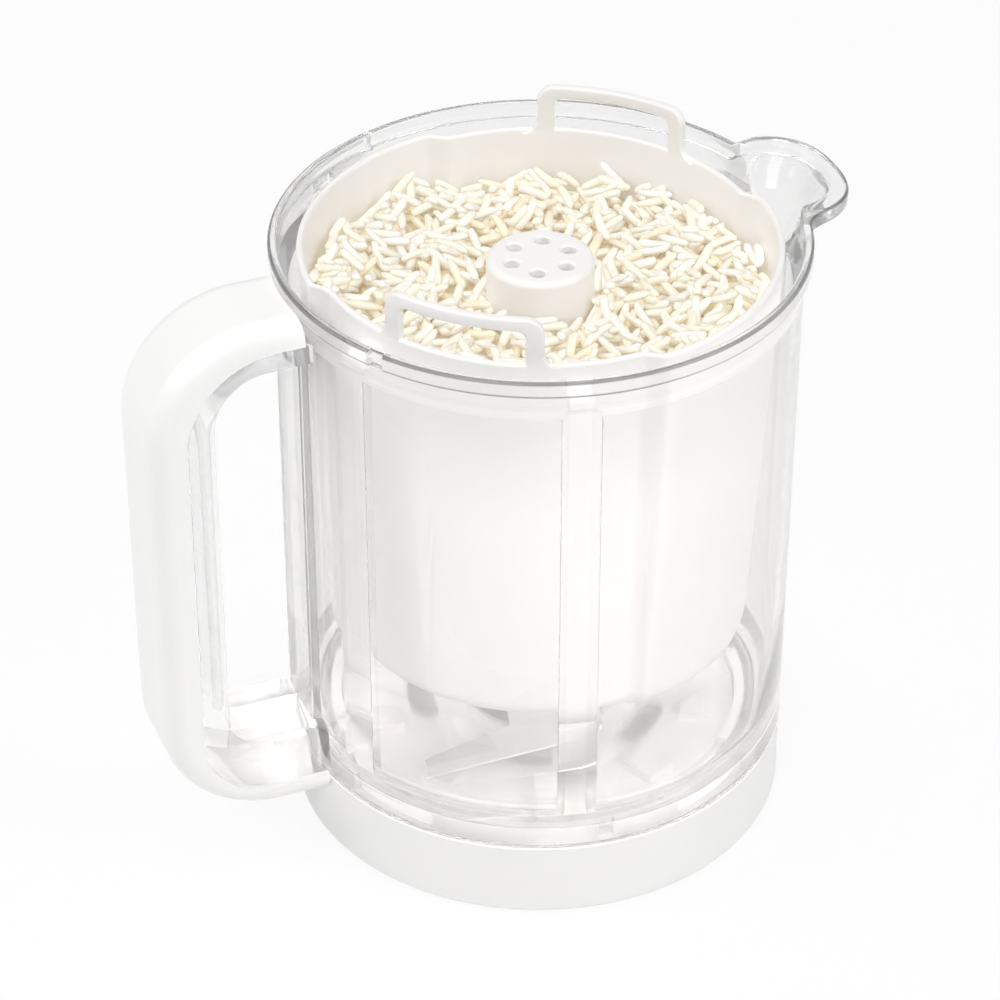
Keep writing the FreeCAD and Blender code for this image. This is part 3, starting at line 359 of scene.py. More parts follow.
def basket_radius(angle, z):
    """The basket's outer radius: two wide sides and two narrow ones, a little narrower at the foot."""
    share = (z - BASKET_FOOT) / (BASKET_RIM - BASKET_FOOT)
    wide = near_any(angle, WIDE_CENTRES, WIDE_HALF, WIDE_SOFT)
    return mix(mix(NARROW_FOOT, NARROW_TOP, share), mix(WIDE_FOOT, WIDE_TOP, share), wide)


def basket_section(angle):
    """The basket's outline at an angle: column, floor, inside, rim, outside, underside."""
    low = BASKET_FOOT + BASKET_FILLET
    levels = spread(low + LEVEL_GAP, BASKET_RIM - LEVEL_GAP, BASKET_LEVELS)
    inner_floor = BASKET_FOOT + BASKET_WALL
    inner_fillet = BASKET_FILLET - BASKET_WALL
    foot = basket_radius(angle, low)
    rim = basket_radius(angle, BASKET_RIM)
    half = BASKET_WALL / 2
    bore, bore_foot, bore_top = (COLUMN_RADIUS - COLUMN_WALL, COLUMN_FOOT_RADIUS - COLUMN_WALL,
                                 COLUMN_TOP - COLUMN_WALL)
    column_foot = inner_floor + COLUMN_ROUND
    points = [(r, COLUMN_TOP) for r in CAP_RINGS]
    points += arc((COLUMN_RADIUS - COLUMN_EDGE, COLUMN_TOP - COLUMN_EDGE), COLUMN_EDGE, 90.0, 0.0, 7)
    for i in range(COLUMN_STEPS + 1):
        share = i / COLUMN_STEPS
        points.append((mix(COLUMN_RADIUS, COLUMN_FOOT_RADIUS, share),
                       mix(COLUMN_TOP - COLUMN_HEAD, column_foot, share)))
    points += arc((COLUMN_FOOT_RADIUS + COLUMN_ROUND, column_foot), COLUMN_ROUND, 180.0, 270.0, 5)[1:]
    points += [(BASKET_RING, inner_floor)]
    corner = foot - BASKET_WALL - inner_fillet, inner_floor + inner_fillet
    points += arc(corner, inner_fillet, 270.0, 360.0, 7)
    points += [(basket_radius(angle, z) - BASKET_WALL, z) for z in levels]
    points += arc((rim - half, BASKET_RIM - half), half, 180.0, 0.0, 9)
    points += [(basket_radius(angle, z), z) for z in reversed(levels)]
    points += arc((foot - BASKET_FILLET, low), BASKET_FILLET, 0.0, -90.0, 9)
    points += [(BASKET_RING, BASKET_FOOT), (bore_foot + NICK, BASKET_FOOT), (bore_foot, BASKET_FOOT + NICK)]
    points += [(bore, bore_top - NICK), (bore - NICK, bore_top), (0.0, bore_top)]
    return points


def loop_path(half, top, corner, flare, foot):
    """An arch of (distance round the rim, height) points, flared where it meets the rim."""
    if flare:
        side = [(half + flare * (1.0 - math.sin(t)), foot + flare * (1.0 - math.cos(t)))
                for t in spread(0.0, math.pi / 2, 7)]
    else:
        side = [(half, foot + LOOP_PLAIN * i / 6) for i in range(7)]
    rise = spread(side[-1][1], top - corner, 4)[1:-1]
    right = side + [(half, z) for z in rise] + arc((half - corner, top - corner), corner, 0.0, 90.0, 8)
    across = [(x, top) for x in spread(half - corner, corner - half, 14)][1:-1]
    return right + across + [(-x, z) for x, z in reversed(right)]


def basket_loop(name, turn):
    """One loop handle, bent to stand along the rim."""
    def bend(point):
        angle = math.radians(turn) + point[0] / LOOP_RADIUS
        radius = LOOP_RADIUS + point[1]
        return radius * math.cos(angle), radius * math.sin(angle), point[2]

    foot = BASKET_RIM - LOOP_SINK
    outer = loop_path(LOOP_HALF_WIDE, LOOP_TOP, LOOP_CORNER, LOOP_FLARE, foot)
    inner = loop_path(LOOP_HALF_WIDE - LOOP_POST, LOOP_TOP - LOOP_BAR, LOOP_INNER_CORNER, 0.0, foot)
    return ribbon(name, inner, outer, LOOP_HALF_THICK, LOOP_ROUND, LOOP_ROUND, bend)


def vent(i):
    """A cutter for one vent: a cylinder that opens a little at the top."""
    angle = math.radians(VENT_TURN + i * 360.0 / VENT_COUNT)
    x, y = VENT_CIRCLE * math.cos(angle), VENT_CIRCLE * math.sin(angle)
    levels = [(VENT_RADIUS, COLUMN_TOP - VENT_DEPTH), (VENT_RADIUS, COLUMN_TOP - NICK),
              (VENT_RADIUS + VENT_FLARE, COLUMN_TOP + VENT_PAST)]
    sides = VENT_SIDES
    turns = [math.tau * k / sides for k in range(sides)]
    points = [(x + r * math.cos(t), y + r * math.sin(t), z) for r, z in levels for t in turns]
    faces = [tuple(range(sides)), tuple(range(2 * sides, 3 * sides))]
    for low in (0, sides):
        for k in range(sides):
            n = (k + 1) % sides
            faces.append((low + k, low + n, low + sides + n, low + sides + k))
    return mesh_object(f"vent_{i}", points, faces)


def make_basket():
    marks = [(c + s * WIDE_HALF, *WIDE_MARK) for c in WIDE_CENTRES for s in (-1, 1)]
    basket = turned_shape("basket", angles_with(BASKET_STEP, marks), basket_section, False)
    tabs = [block(f"tab_{a:.0f}", TAB_LOW, TAB_HIGH, TAB_EDGE, a) for a in RIB_ANGLES]
    loops = [basket_loop(f"loop_{turn:.0f}", turn) for turn in (LOOP_AXIS, LOOP_AXIS + 180.0)]
    combine(basket, loops + tabs, "UNION")
    combine(basket, [vent(i) for i in range(VENT_COUNT)], "DIFFERENCE")
    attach(basket, "basket")
    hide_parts("rice_basket")
    basket.visible_shadow = False
    return basket


# Rice: grains dropped one by one on a height map of what lies below them

RICE_BED, RICE_TRIES, RICE_CHOICES, RICE_SEED = 139.5, 8500, 2, 11
CELL, HALF_CELLS, STEEPEST, SETTLE = 0.4, 150, 0.8, 0.75
HEAP_MIDDLE, HEAP_RISE, HEAP_LUMP, HEAP_DRIFT, HEAP_DRIFTS = 145.8, 3.6, 1.5, 4.0, (148.0, 15.0)
DRIFT_HALF, DRIFT_SOFT = 12.0, 50.0
GRAIN_HALF, GRAIN_RADIUS, GRAIN_BEND, RICE_REACH = (3.3, 4.8), (1.0, 1.25), (-0.8, 0.8), (-58, 58)
GRAIN_RINGS, GRAIN_SIDES, BLUNT, TAPER, GRAIN_WIDE, GRAIN_FLAT = 8, 8, 5.0, 0.08, 1.06, 0.92
FELT, FELT_SPOTS, FELT_SIDES, WALL_ROOM, SPARE_CELLS = 0.85, 9, (-0.6, 0.0, 0.6), 0.8, 4
RICE_SHARES = (0.4, 0.75, 0.93, 1.0)
LUMP_X, LUMP_Y, LUMP_CROSS, LUMP_SHARE = (0.17, 1.0), (0.21, 0.4), (0.31, 0.23), 0.6
BED_STEP, BED_RINGS, BED_THICK, BED_SINK, BED_GAP, BED_INSET = 3.0, 12, 4.0, 2.0, 0.4, 1.0
BED_BUMP, BED_WAVES = 0.5, (1.3, 1.1)


def heap_share(x, y):
    """0 at the axis and 1 at the basket's wall."""
    return min(math.hypot(x, y) / NARROW_TOP, 1.0)


def heap_top(x, y):
    """How high the rice may lie: low round the column, higher by the wall, lumpy all over."""
    lump = math.sin(x * LUMP_X[0] + LUMP_X[1]) * math.sin(y * LUMP_Y[0] + LUMP_Y[1])
    lump += LUMP_SHARE * math.sin(x * LUMP_CROSS[0] - y * LUMP_CROSS[1])
    turn = math.degrees(math.atan2(y, x))
    drift = sum(near_any(turn, (centre,), DRIFT_HALF, DRIFT_SOFT) for centre in HEAP_DRIFTS)
    share = heap_share(x, y) ** 2
    return HEAP_MIDDLE + (HEAP_RISE + HEAP_DRIFT * drift) * share + HEAP_LUMP * lump


def rice_room(x, y, margin):
    """True where a grain's middle line may lie between the column and the basket's wall."""
    radius = math.hypot(x, y)
    angle = math.degrees(math.atan2(y, x))
    wall = basket_radius(angle, HEAP_MIDDLE) - BASKET_WALL
    return COLUMN_RADIUS + margin < radius < wall - margin


def resting_line(samples):
    """Slope and middle height of the line that rests on a row of (distance, height) samples."""
    left = [s for s in samples if s[0] <= 0.0]
    right = [s for s in samples if s[0] >= 0.0]
    best = None
    for a in left:
        for b in right:
            if b[0] <= a[0]:
                continue
            slope = (b[1] - a[1]) / (b[0] - a[0])
            height = a[1] - slope * a[0]
            if best is None or height > best[1]:
                best = slope, height
    return best


def rest_on(heights, x, y, yaw, half, radius):
    """Slope and height at which a grain comes to rest on the height map."""
    c, s = math.cos(yaw), math.sin(yaw)
    samples = []
    for d in spread(-half * FELT, half * FELT, FELT_SPOTS):
        rows = [int(round((x + d * c - w * radius * s) / CELL)) + HALF_CELLS for w in FELT_SIDES]
        columns = [int(round((y + d * s + w * radius * c) / CELL)) + HALF_CELLS for w in FELT_SIDES]
        samples.append((d, float(heights[rows, columns].max())))
    slope, _ = resting_line(samples)
    slope = min(max(slope, -STEEPEST), STEEPEST)
    return slope, max(h - slope * d for d, h in samples)


def cover(heights, x, y, yaw, half, radius, slope, centre):
    """Raise the height map under a grain to the grain's top."""
    c, s = math.cos(yaw), math.sin(yaw)
    reach = int(half / CELL) + SPARE_CELLS
    ci, cj = int(round(x / CELL)) + HALF_CELLS, int(round(y / CELL)) + HALF_CELLS
    rows = slice(max(ci - reach, 0), ci + reach + 1)
    columns = slice(max(cj - reach, 0), cj + reach + 1)
    count = heights.shape[0]
    gx = (np.arange(count)[rows, None] - HALF_CELLS) * CELL - x
    gy = (np.arange(count)[None, columns] - HALF_CELLS) * CELL - y
    along, across = gx * c + gy * s, gy * c - gx * s
    width = radius * np.sqrt(np.clip(1.0 - (along / half) ** 4, 0.0, 1.0))
    top = centre + slope * along + np.sqrt(np.clip(width ** 2 - across ** 2, 0.0, None))
    patch = heights[rows, columns]
    heights[rows, columns] = np.where(np.abs(across) < width, np.maximum(patch, top), patch)


def drop_rice():
    """The grains, each laid at the lowest of a few places, unless it would stick out of the heap."""
    rng = random.Random(RICE_SEED)
    steps = (np.arange(2 * HALF_CELLS + 1) - HALF_CELLS) * CELL
    share = np.minimum(np.hypot(steps[:, None], steps[None, :]) / NARROW_TOP, 1.0)
    heights = RICE_BED + HEAP_RISE * share ** 2
    grains = []
    for _ in range(RICE_TRIES):
        half, radius = rng.uniform(*GRAIN_HALF), rng.uniform(*GRAIN_RADIUS)
        lowest = None
        for _ in range(RICE_CHOICES):
            x, y, yaw = rng.uniform(*RICE_REACH), rng.uniform(*RICE_REACH), rng.uniform(0.0, math.pi)
            ends = [(x + d * math.cos(yaw), y + d * math.sin(yaw)) for d in (-half, 0.0, half)]
            if not all(rice_room(px, py, radius * WALL_ROOM) for px, py in ends):
                continue
            slope, rest = rest_on(heights, x, y, yaw, half, radius)
            over = rest - heap_top(x, y)
            if lowest is None or over < lowest[0]:
                lowest = over, x, y, yaw, slope, rest
        if lowest is None or lowest[0] > 0.0:
            continue
        _, x, y, yaw, slope, rest = lowest
        centre = rest + radius * (1.0 - SETTLE)
        cover(heights, x, y, yaw, half, radius, slope, centre)
        grains.append({
            "middle": (x, y, centre), "yaw": yaw, "slope": slope, "half": half, "radius": radius,
            "bend": rng.uniform(*GRAIN_BEND), "roll": rng.uniform(0.0, math.tau), "tint": rng.random(),
        })
    return grains


def grain_points(grain):
    """A bent, tapered grain as rings of points, with its two tips."""
    middle = Vector(grain["middle"])
    ahead = Vector((math.cos(grain["yaw"]), math.sin(grain["yaw"]), grain["slope"])).normalized()
    aside = ahead.cross(Vector((0, 0, 1))).normalized()
    above = aside.cross(ahead)
    points = []
    for i in range(GRAIN_RINGS):
        t = -math.cos(math.pi * (i + 0.5) / GRAIN_RINGS)
        girth = grain["radius"] * (1.0 - abs(t) ** BLUNT) ** 0.5 * (1.0 - TAPER * t)
        sag = grain["bend"] * (1.0 - t * t)
        centre = middle + ahead * (t * grain["half"]) + aside * sag
        for k in range(GRAIN_SIDES):
            a = math.tau * k / GRAIN_SIDES + grain["roll"]
            across, up = girth * GRAIN_WIDE * math.cos(a), girth * GRAIN_FLAT * math.sin(a)
            points.append(centre + aside * across + above * up)
    points.append(middle - ahead * grain["half"])
    points.append(middle + ahead * grain["half"])
    return points


def grain_faces(start):
    """The faces of a grain whose points begin at a place in the list: bands, then the two tips."""
    rings, sides = GRAIN_RINGS, GRAIN_SIDES
    following = [(k, (k + 1) % sides) for k in range(sides)]
    faces = []
    for here in (start + i * sides for i in range(rings - 1)):
        faces += [(here + k, here + n, here + sides + n, here + sides + k) for k, n in following]
    last, low, high = start + (rings - 1) * sides, start + rings * sides, start + rings * sides + 1
    for k, n in following:
        faces += [(low, start + n, start + k), (high, last + k, last + n)]
    return faces


def make_rice(tints):
    """All grains in one mesh, each in one of the tints."""
    points, faces, slots = [], [], []
    for grain in drop_rice():
        own = grain_faces(len(points))
        points += grain_points(grain)
        faces += own
        slots += [next(i for i, share in enumerate(RICE_SHARES) if grain["tint"] <= share)] * len(own)
    mesh = bpy.data.meshes.new("rice_grains")
    mesh.from_pydata([tuple(c * MM for c in p) for p in points], [], faces)
    for tint in tints:
        mesh.materials.append(tint)
    mesh.polygons.foreach_set("material_index", slots)
    mesh.polygons.foreach_set("use_smooth", [True] * len(faces))
    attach(placed("rice_grains", mesh), "basket")


def make_rice_bed(material):
    """A bumpy bed under the grains that closes the gaps between them, coloured a darker brown as painted
    shade in the gaps.
    """
    inner = COLUMN_RADIUS + BED_INSET

    def section(angle):
        wall = basket_radius(angle, RICE_BED - BED_SINK) - BASKET_WALL - BED_GAP
        turn = math.radians(angle)
        top = []
        for r in spread(inner, wall, BED_RINGS):
            bump = math.sin(r * BED_WAVES[0] * math.cos(turn)) * math.sin(r * BED_WAVES[1] * math.sin(turn))
            top.append((r, RICE_BED + HEAP_RISE * min(r / NARROW_TOP, 1.0) ** 2 + BED_BUMP * bump))
        return top + [(wall, RICE_BED - BED_THICK), (inner, RICE_BED - BED_THICK)]

    bed = turned_shape("rice_bed", angles_with(BED_STEP, []), section, True)
    bed.data.materials.append(material)
    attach(bed, "basket")


# Node helpers: each adds nodes to a tree and gives back the socket with the outcome

def empty_tree(owner):
    """The node tree of a new material or world, with nothing in it."""
    owner.use_nodes = True
    owner.node_tree.nodes.clear()
    return owner.node_tree


def put(tree, value, socket):
    """Feed a socket from another socket, or with a fixed value."""
    if isinstance(value, bpy.types.NodeSocket):
        tree.links.new(value, socket)
    elif socket.type == "RGBA":
        socket.default_value = (*value, 1.0)
    else:
        socket.default_value = value


def add_node(tree, kind, **inputs):
    node = tree.nodes.new(kind)
    for name, value in inputs.items():
        put(tree, value, node.inputs[name.replace("_", " ")])
    return node


def show(tree, surface, kind="ShaderNodeOutputMaterial"):
    """Make a shader the surface of its material or world."""
    output = next((n for n in tree.nodes if n.bl_idname == kind), None) or tree.nodes.new(kind)
    tree.links.new(surface, output.inputs["Surface"])


def maths(tree, operation, first, second=0.0):
    node = tree.nodes.new("ShaderNodeMath")
    node.operation = operation
    put(tree, first, node.inputs[0])
    put(tree, second, node.inputs[1])
    return node.outputs["Value"]


def length(tree, vector):
    node = tree.nodes.new("ShaderNodeVectorMath")
    node.operation = "LENGTH"
    tree.links.new(vector, node.inputs[0])
    return node.outputs["Value"]


def ranged(tree, source, low, high, start=0.0, end=1.0):
    """Runs from low to high while the source runs from start to end, and stays there beyond."""
    node = add_node(tree, "ShaderNodeMapRange", Value=source, From_Min=start, From_Max=end,
                    To_Min=low, To_Max=high)
    return node.outputs["Result"]


def mix_colours(tree, share, first, second):
    """Runs from the first colour to the second with a share between 0 and 1."""
    node = tree.nodes.new("ShaderNodeMix")
    node.data_type = "RGBA"
    tree.links.new(share, node.inputs[0])
    for colour, socket in zip((first, second), [i for i in node.inputs if i.type == "RGBA"]):
        put(tree, colour, socket)
    return next(o for o in node.outputs if o.type == "RGBA")


def mix_shaders(tree, share, first, second):
    node = tree.nodes.new("ShaderNodeMixShader")
    for source, socket in zip((share, first, second), node.inputs):
        tree.links.new(source, socket)
    return node.outputs["Shader"]


def object_axes(tree, kind="Object"):
    """X, Y and Z of a spot in the object's own frame in metres, or of the way its surface faces."""
    place = tree.nodes.new("ShaderNodeTexCoord")
    split = add_node(tree, "ShaderNodeSeparateXYZ", Vector=place.outputs[kind])
    return [split.outputs[axis] for axis in "XYZ"]


def noise(tree, scale, detail, stretch=None):
    """Noise in the object's own frame, drawn out along one axis by a stretch."""
    place = tree.nodes.new("ShaderNodeTexCoord").outputs["Object"]
    if stretch:
        place = add_node(tree, "ShaderNodeMapping", Vector=place, Scale=stretch).outputs["Vector"]
    return add_node(tree, "ShaderNodeTexNoise", Vector=place, Scale=scale, Detail=detail).outputs["Fac"]


def bumped(tree, shader, source, strength, depth):
    node = add_node(tree, "ShaderNodeBump", Height=source, Strength=strength, Distance=depth)
    tree.links.new(node.outputs["Normal"], shader.inputs["Normal"])


# Materials, with heights and depths in metres

CLOUD_SCALE, CLOUD_DETAIL, SKIN_DETAIL, SKIN_DEPTH = 45.0, 3.0, 2.0, 0.0002
CLEAR_FOOT, CLEAR_RIM, CLEAR_HANDLE, CLEAR_FLOOR, CLEAR_RIB = 0.12, 0.05, 0.38, 0.42, 0.92
CLEAR_RISE, HANDLE_START = (0.12, 0.15), (-0.066, -0.074)
OVER_FLOOR, AT_SEAT = (0.03, 0.036), (0.15, 0.1515)
INNER_WALL, INNER_LIP, INNER_DEPTH = 0.06138, 0.0643, 0.0002
CLEAR_INDEX, CLEAR_HAZE, CLEAR_ROUGH = 1.38, 0.045, (0.0, 0.015)
CLEAR_CLOUDS, CLEAR_WAVES, CLEAR_WAVE_BUMP, CLEAR_WAVE_DEPTH = 60.0, 25.0, 0.015, 0.0003
# Painted shade on the rim's rounded outer edges: spans of the face's tilt, its outward facing and the
# height it starts at
EDGE_TILT, EDGE_OUTWARD, EDGE_FOOT = (0.1, 0.35), (0.012, 0.02), (0.1565, 0.1568)
BRUSH_STRETCH, BRUSH_DETAIL, BRUSH_BUMP, BRUSH_DEPTH, BRUSH_DULL = (1.0, 14.0, 1.0), 4.0, 0.08, 0.0001, 0.95
RICE_ROUGH, RICE_SKIN, RICE_BUMP, RICE_THROUGH = (0.25, 0.45), 900.0, 0.15, (0.86, 0.83, 0.76)
RICE_MILK = {"Subsurface_Weight": 0.75, "Subsurface_Scale": 0.002, "Subsurface_Radius": (1.0, 0.85, 0.65)}
BASKET_MILK = {"Subsurface_Weight": 0.08, "Subsurface_Scale": 0.001, "Subsurface_Radius": (1.0, 0.9, 0.85)}
# Painted light: a paler tint for the top of the basket, and the heights over which it fades in
BASKET_PAINTED_LIGHT, BASKET_LIGHT_RISE = (0.89, 0.874, 0.856), (0.142, 0.152)


def new_material(name):
    material = bpy.data.materials.new(name)
    tree = empty_tree(material)
    shader = tree.nodes.new("ShaderNodeBsdfPrincipled")
    show(tree, shader.outputs["BSDF"])
    return material, tree, shader


def plastic(name, first, second, rough, skin_scale, bump, **settings):
    """Moulded plastic: two close colours in soft clouds, uneven gloss and a fine skin."""
    material, tree, shader = new_material(name)
    skin = noise(tree, skin_scale, SKIN_DETAIL)
    clouds = noise(tree, CLOUD_SCALE, CLOUD_DETAIL)
    put(tree, mix_colours(tree, clouds, first, second), shader.inputs["Base Color"])
    put(tree, ranged(tree, skin, *rough), shader.inputs["Roughness"])
    bumped(tree, shader, skin, bump, SKIN_DEPTH)
    for key, value in settings.items():
        put(tree, value, shader.inputs[key.replace("_", " ")])
    return material


def principled(material):
    return next(n for n in material.node_tree.nodes if n.type == "BSDF_PRINCIPLED")


def painted_light_above(material, tint, heights):
    """Painted light: fade the material's colour to a paler tint between two heights, so the top looks more
    lit.
    """
    tree = material.node_tree
    colour = principled(material).inputs["Base Color"]
    share = ranged(tree, object_axes(tree)[2], 0.0, 1.0, *heights)
    put(tree, mix_colours(tree, share, colour.links[0].from_socket, tint), colour)


def rice_tint(name, first, second):
    """Cooked rice: milky grains that the lamps shine through, while the eye sees their skin."""
    material = plastic(name, first, second, RICE_ROUGH, RICE_SKIN, RICE_BUMP, **RICE_MILK)
    tree = material.node_tree
    through = add_node(tree, "ShaderNodeBsdfTransparent", Color=RICE_THROUGH).outputs["BSDF"]
    lamp_ray = tree.nodes.new("ShaderNodeLightPath").outputs["Is Shadow Ray"]
    show(tree, mix_shaders(tree, lamp_ray, principled(material).outputs["BSDF"], through))
    return material


def painted_rim_edge_shade(tree):
    """1 on the rounded outer edges of the jug's rim, which guide the light away; a near black tint is
    painted there as shade.
    """
    x, y, z = object_axes(tree)
    nx, ny, nz = object_axes(tree, "Normal")
    outward = maths(tree, "ADD", maths(tree, "MULTIPLY", x, nx), maths(tree, "MULTIPLY", y, ny))
    rounded = ranged(tree, maths(tree, "ABSOLUTE", nz), 0.0, 1.0, *EDGE_TILT)
    rounded = maths(tree, "MULTIPLY", rounded, ranged(tree, outward, 0.0, 1.0, *EDGE_OUTWARD))
    return maths(tree, "MULTIPLY", rounded, ranged(tree, z, 0.0, 1.0, *EDGE_FOOT))


def straight_share(tree, rise):
    """How much light goes straight through the jug: more in its handle, floor, ribs and seat."""
    x, y, z = object_axes(tree)
    radius = length(tree, add_node(tree, "ShaderNodeCombineXYZ", X=x, Y=y).outputs["Vector"])
    inner_face = ranged(tree, z, INNER_WALL, INNER_LIP, *AT_SEAT)
    depth = maths(tree, "SUBTRACT", inner_face, radius)
    within = ranged(tree, z, CLEAR_FLOOR, CLEAR_RIB, *OVER_FLOOR)
    inside = ranged(tree, depth, 0.0, within, 0.0, INNER_DEPTH)
    on_handle = ranged(tree, x, 0.0, CLEAR_HANDLE, *HANDLE_START)
    on_wall = ranged(tree, rise, CLEAR_FOOT, CLEAR_RIM)
    return maths(tree, "MAXIMUM", maths(tree, "MAXIMUM", on_wall, on_handle), inside)


def clear_plastic(name, foot_tint, rim_shade_tint, edge_shade_tint):
    """Clear moulded plastic, tinted darker grey towards the rim as painted shade, that bends most of the
    light, but not all.
    """
    material, tree, shader = new_material(name)
    rise = ranged(tree, object_axes(tree)[2], 0.0, 1.0, *CLEAR_RISE)
    # Painted shade: the tint darkens from the foot to the rim
    tint = mix_colours(tree, rise, foot_tint, rim_shade_tint)
    # Painted shade: a near black tint on the rim's rounded outer edges
    put(tree, mix_colours(tree, painted_rim_edge_shade(tree), tint, edge_shade_tint), shader.inputs["Base Color"])
    put(tree, 1.0 - CLEAR_HAZE, shader.inputs["Transmission Weight"])
    put(tree, CLEAR_INDEX, shader.inputs["IOR"])
    clouds = noise(tree, CLEAR_CLOUDS, CLOUD_DETAIL)
    put(tree, ranged(tree, clouds, *CLEAR_ROUGH), shader.inputs["Roughness"])
    bumped(tree, shader, noise(tree, CLEAR_WAVES, 1.0), CLEAR_WAVE_BUMP, CLEAR_WAVE_DEPTH)
    through = tree.nodes.new("ShaderNodeBsdfTransparent").outputs["BSDF"]
    show(tree, mix_shaders(tree, straight_share(tree, rise), shader.outputs["BSDF"], through))
    return material


def brushed_metal(name, colour, rough, scale):
    """Metal with fine streaks in its colour, its gloss and its skin."""
    material, tree, shader = new_material(name)
    streaks = noise(tree, scale, BRUSH_DETAIL, BRUSH_STRETCH)
    duller = tuple(BRUSH_DULL * part for part in colour)
    put(tree, mix_colours(tree, streaks, duller, colour), shader.inputs["Base Color"])
    put(tree, 1.0, shader.inputs["Metallic"])
    put(tree, ranged(tree, streaks, *rough), shader.inputs["Roughness"])
    bumped(tree, shader, streaks, BRUSH_BUMP, BRUSH_DEPTH)
    return material


def paint(mesh, material):
    mesh.materials.clear()
    mesh.materials.append(material)


def dress(material, *names):
    for name in names:
        paint(nodes[name].data, material)


# Make the materials: colours, then gloss, scale of the skin and its bump

# Painted shade: the clear plastic is tinted greyer towards the rim, and near black on the rim's rounded
# outer edges
clear = clear_plastic("clear_plastic", (0.965, 0.957, 0.953), (0.87, 0.868, 0.867), (0.13, 0.13, 0.13))
white = plastic("white_plastic", (0.895, 0.89, 0.88), (0.915, 0.91, 0.905), (0.28, 0.4), 1600.0, 0.06)
carrier_white = plastic("carrier_plastic", (0.9, 0.878, 0.86), (0.915, 0.893, 0.876), (0.3, 0.42),
                        1600.0, 0.06)
basket_white = plastic("basket_plastic", (0.82, 0.804, 0.795), (0.83, 0.816, 0.807), (0.35, 0.48),
                       1400.0, 0.05, **BASKET_MILK)
# Painted light: the basket's rim, loops and column cap are coloured paler than its lower wall
painted_light_above(basket_white, BASKET_PAINTED_LIGHT, BASKET_LIGHT_RISE)
grey = plastic("grey_plastic", (0.8, 0.79, 0.78), (0.83, 0.82, 0.81), (0.4, 0.5), 1200.0, 0.06)
steel = brushed_metal("steel", (0.97, 0.97, 0.96), (0.28, 0.42), 500.0)
bronze = brushed_metal("bronze", (0.6, 0.46, 0.28), (0.35, 0.5), 900.0)
rubber = plastic("seal_rubber", (0.62, 0.61, 0.6), (0.68, 0.67, 0.66), (0.6, 0.75), 900.0, 0.1)
rice_tints = [
    rice_tint("rice_white", (0.9, 0.875, 0.82), (0.9, 0.862, 0.79)),
    rice_tint("rice_ivory", (0.89, 0.85, 0.765), (0.885, 0.835, 0.735)),
    rice_tint("rice_cream", (0.88, 0.82, 0.7), (0.88, 0.825, 0.71)),
    rice_tint("rice_straw", (0.865, 0.785, 0.63), (0.87, 0.79, 0.65)),
]
# Painted shade: the bed shows in the gaps between grains, browner and darker than the grains
painted_rice_gap_shade = plastic("rice_bed", (0.78, 0.68, 0.54), (0.84, 0.76, 0.63), (0.5, 0.7), 400.0, 0.3)

# Make the pieces

paint(make_jug().data, clear)
paint(make_basket().data, basket_white)
make_rice(rice_tints)
make_rice_bed(painted_rice_gap_shade)

dress(white, "handle_cover", "base_ring")
dress(carrier_white, "blade_carrier")
dress(grey, "bearing_housing", "blade_hub", "drive_coupling")
dress(steel, "blade_shaft", "blade", "blade_seat", "cap_nut", "coupling_pin", "carrier_screws", "circlip",
      "thrust_washer", "lower_washer")
dress(bronze, "upper_bush", "lower_bush")
dress(rubber, "floor_gasket", "shaft_seal")


# Stage: a pale floor that looks white, a soft sky and four soft boxes, in metres and watts

FLOOR_SIZE, FLOOR_DROP, FLOOR_GREY = 6.0, 0.0002, (0.9, 0.9, 0.9)
# Painted shadow: the floor's glow under the base, its glow outside, and the radii between them
PAINTED_SHADOW_GLOW, GLOW_OUTSIDE, GLOW_RADII = 0.5, 0.88, (0.058, 0.064)
SKY_LIGHT, SKY_STRENGTH = (1.0, 0.9, 0.75), 0.24
SKY_EDGES = (0.5, 1.0, 0.5)
LAMP_AIM = Vector((0.0, 0.0, 0.08))
LAMPS = (
    ("front_left", (-1.0, -0.95, 1.1), 0.9, 9.5),
    ("front_right", (0.95, -1.0, 1.0), 0.9, 11.6),
    ("top", (-0.1, 0.1, 1.7), 1.0, 7.0),
    ("back_left", (-1.15, 0.5, 1.0), 0.9, 7.0),
)
CAMERA_PLACE, CAMERA_LOOK = (-0.2992, -0.7142, 0.6334), (0.3053, 0.7557, -0.5794)
CAMERA_LENS, CAMERA_SENSOR = 133.9, 36.0


def seen_rays(tree):
    """1 for rays from the camera, and 1 for rays that gloss or clear plastic has bent."""
    path = tree.nodes.new("ShaderNodeLightPath").outputs
    return path["Is Camera Ray"], maths(tree, "MAXIMUM", path["Is Glossy Ray"], path["Is Transmission Ray"])


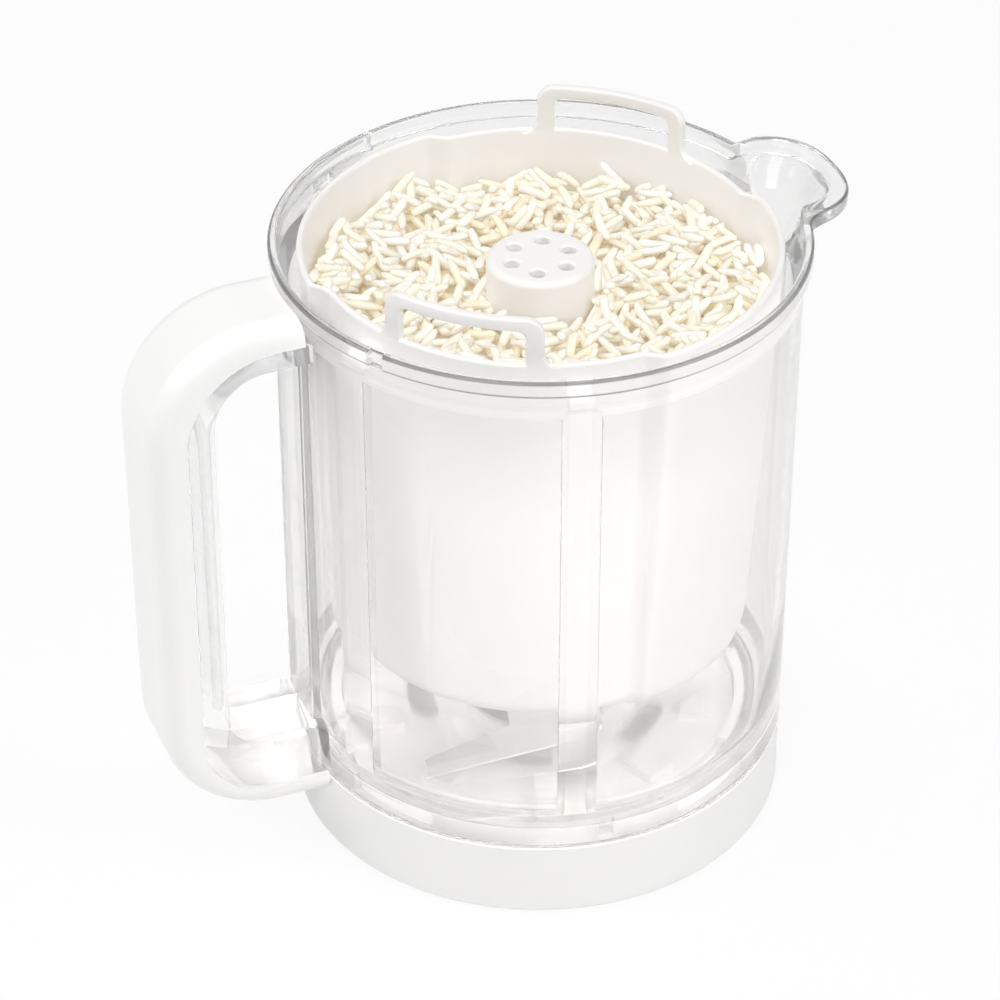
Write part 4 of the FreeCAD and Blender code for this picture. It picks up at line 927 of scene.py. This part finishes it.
def make_floor():
    """Matte to the lamps, and glowing to the eye so that it looks white; the glow is dimmer under the base,
    a painted shadow.
    """
    bpy.ops.mesh.primitive_plane_add(size=FLOOR_SIZE, location=(0.0, 0.0, -FLOOR_DROP))
    floor = bpy.context.object
    floor.name = "floor"
    material = bpy.data.materials.new("floor")
    tree = empty_tree(material)
    matte = add_node(tree, "ShaderNodeBsdfDiffuse", Color=FLOOR_GREY).outputs["BSDF"]
    glow = add_node(tree, "ShaderNodeEmission", Strength=1.0).outputs["Emission"]
    away = length(tree, tree.nodes.new("ShaderNodeTexCoord").outputs["Object"])
    seen = maths(tree, "MAXIMUM", *seen_rays(tree))
    # Painted shadow: less glow within the base's radius
    share = maths(tree, "MULTIPLY", seen, ranged(tree, away, PAINTED_SHADOW_GLOW, GLOW_OUTSIDE, *GLOW_RADII))
    show(tree, mix_shaders(tree, share, matte, glow))
    floor.data.materials.append(material)


def sky_ramp(tree, height, low, high, reach, strength):
    """Light whose shade runs from low at the horizon to high at a height above it."""
    ramp = tree.nodes.new("ShaderNodeValToRGB")
    for element, place, tone in zip(ramp.color_ramp.elements, (0.0, reach), (low, high)):
        element.position = place
        element.color = (tone, tone, tone, 1.0)
    tree.links.new(height, ramp.inputs["Fac"])
    sky = add_node(tree, "ShaderNodeBackground", Color=ramp.outputs["Color"], Strength=strength)
    return sky.outputs["Background"]


def make_sky():
    """Weak soft light, a grey horizon for gloss and clear edges, and plain white behind it all."""
    world = bpy.data.worlds.new("studio")
    bpy.context.scene.world = world
    tree = empty_tree(world)
    height = object_axes(tree, "Generated")[2]
    light = sky_ramp(tree, height, *SKY_LIGHT, SKY_STRENGTH)
    edges = sky_ramp(tree, height, *SKY_EDGES, 1.0)
    behind = add_node(tree, "ShaderNodeBackground", Color=(1.0, 1.0, 1.0), Strength=1.0)
    camera_ray, bent_ray = seen_rays(tree)
    by_ray = mix_shaders(tree, bent_ray, light, edges)
    show(tree, mix_shaders(tree, camera_ray, by_ray, behind.outputs["Background"]), "ShaderNodeOutputWorld")


def turned_to(obj, place, look):
    """Put a lamp or camera at a place, looking along a line."""
    obj.location = place
    obj.rotation_mode = "QUATERNION"
    obj.rotation_quaternion = look.to_track_quat("-Z", "Y")
    return obj


def soft_box(name, place, width, power):
    lamp = bpy.data.lights.new(name, "AREA")
    lamp.shape = "SQUARE"
    lamp.size = width
    lamp.energy = power
    turned_to(placed(name, lamp), place, LAMP_AIM - Vector(place))


def make_camera():
    data = bpy.data.cameras.new("camera")
    data.lens = CAMERA_LENS
    data.sensor_width = CAMERA_SENSOR
    bpy.context.scene.camera = turned_to(placed("camera", data), CAMERA_PLACE, Vector(CAMERA_LOOK))


make_floor()
make_sky()
for lamp_values in LAMPS:
    soft_box(*lamp_values)
make_camera()
bpy.context.scene.view_settings.view_transform = "Standard"
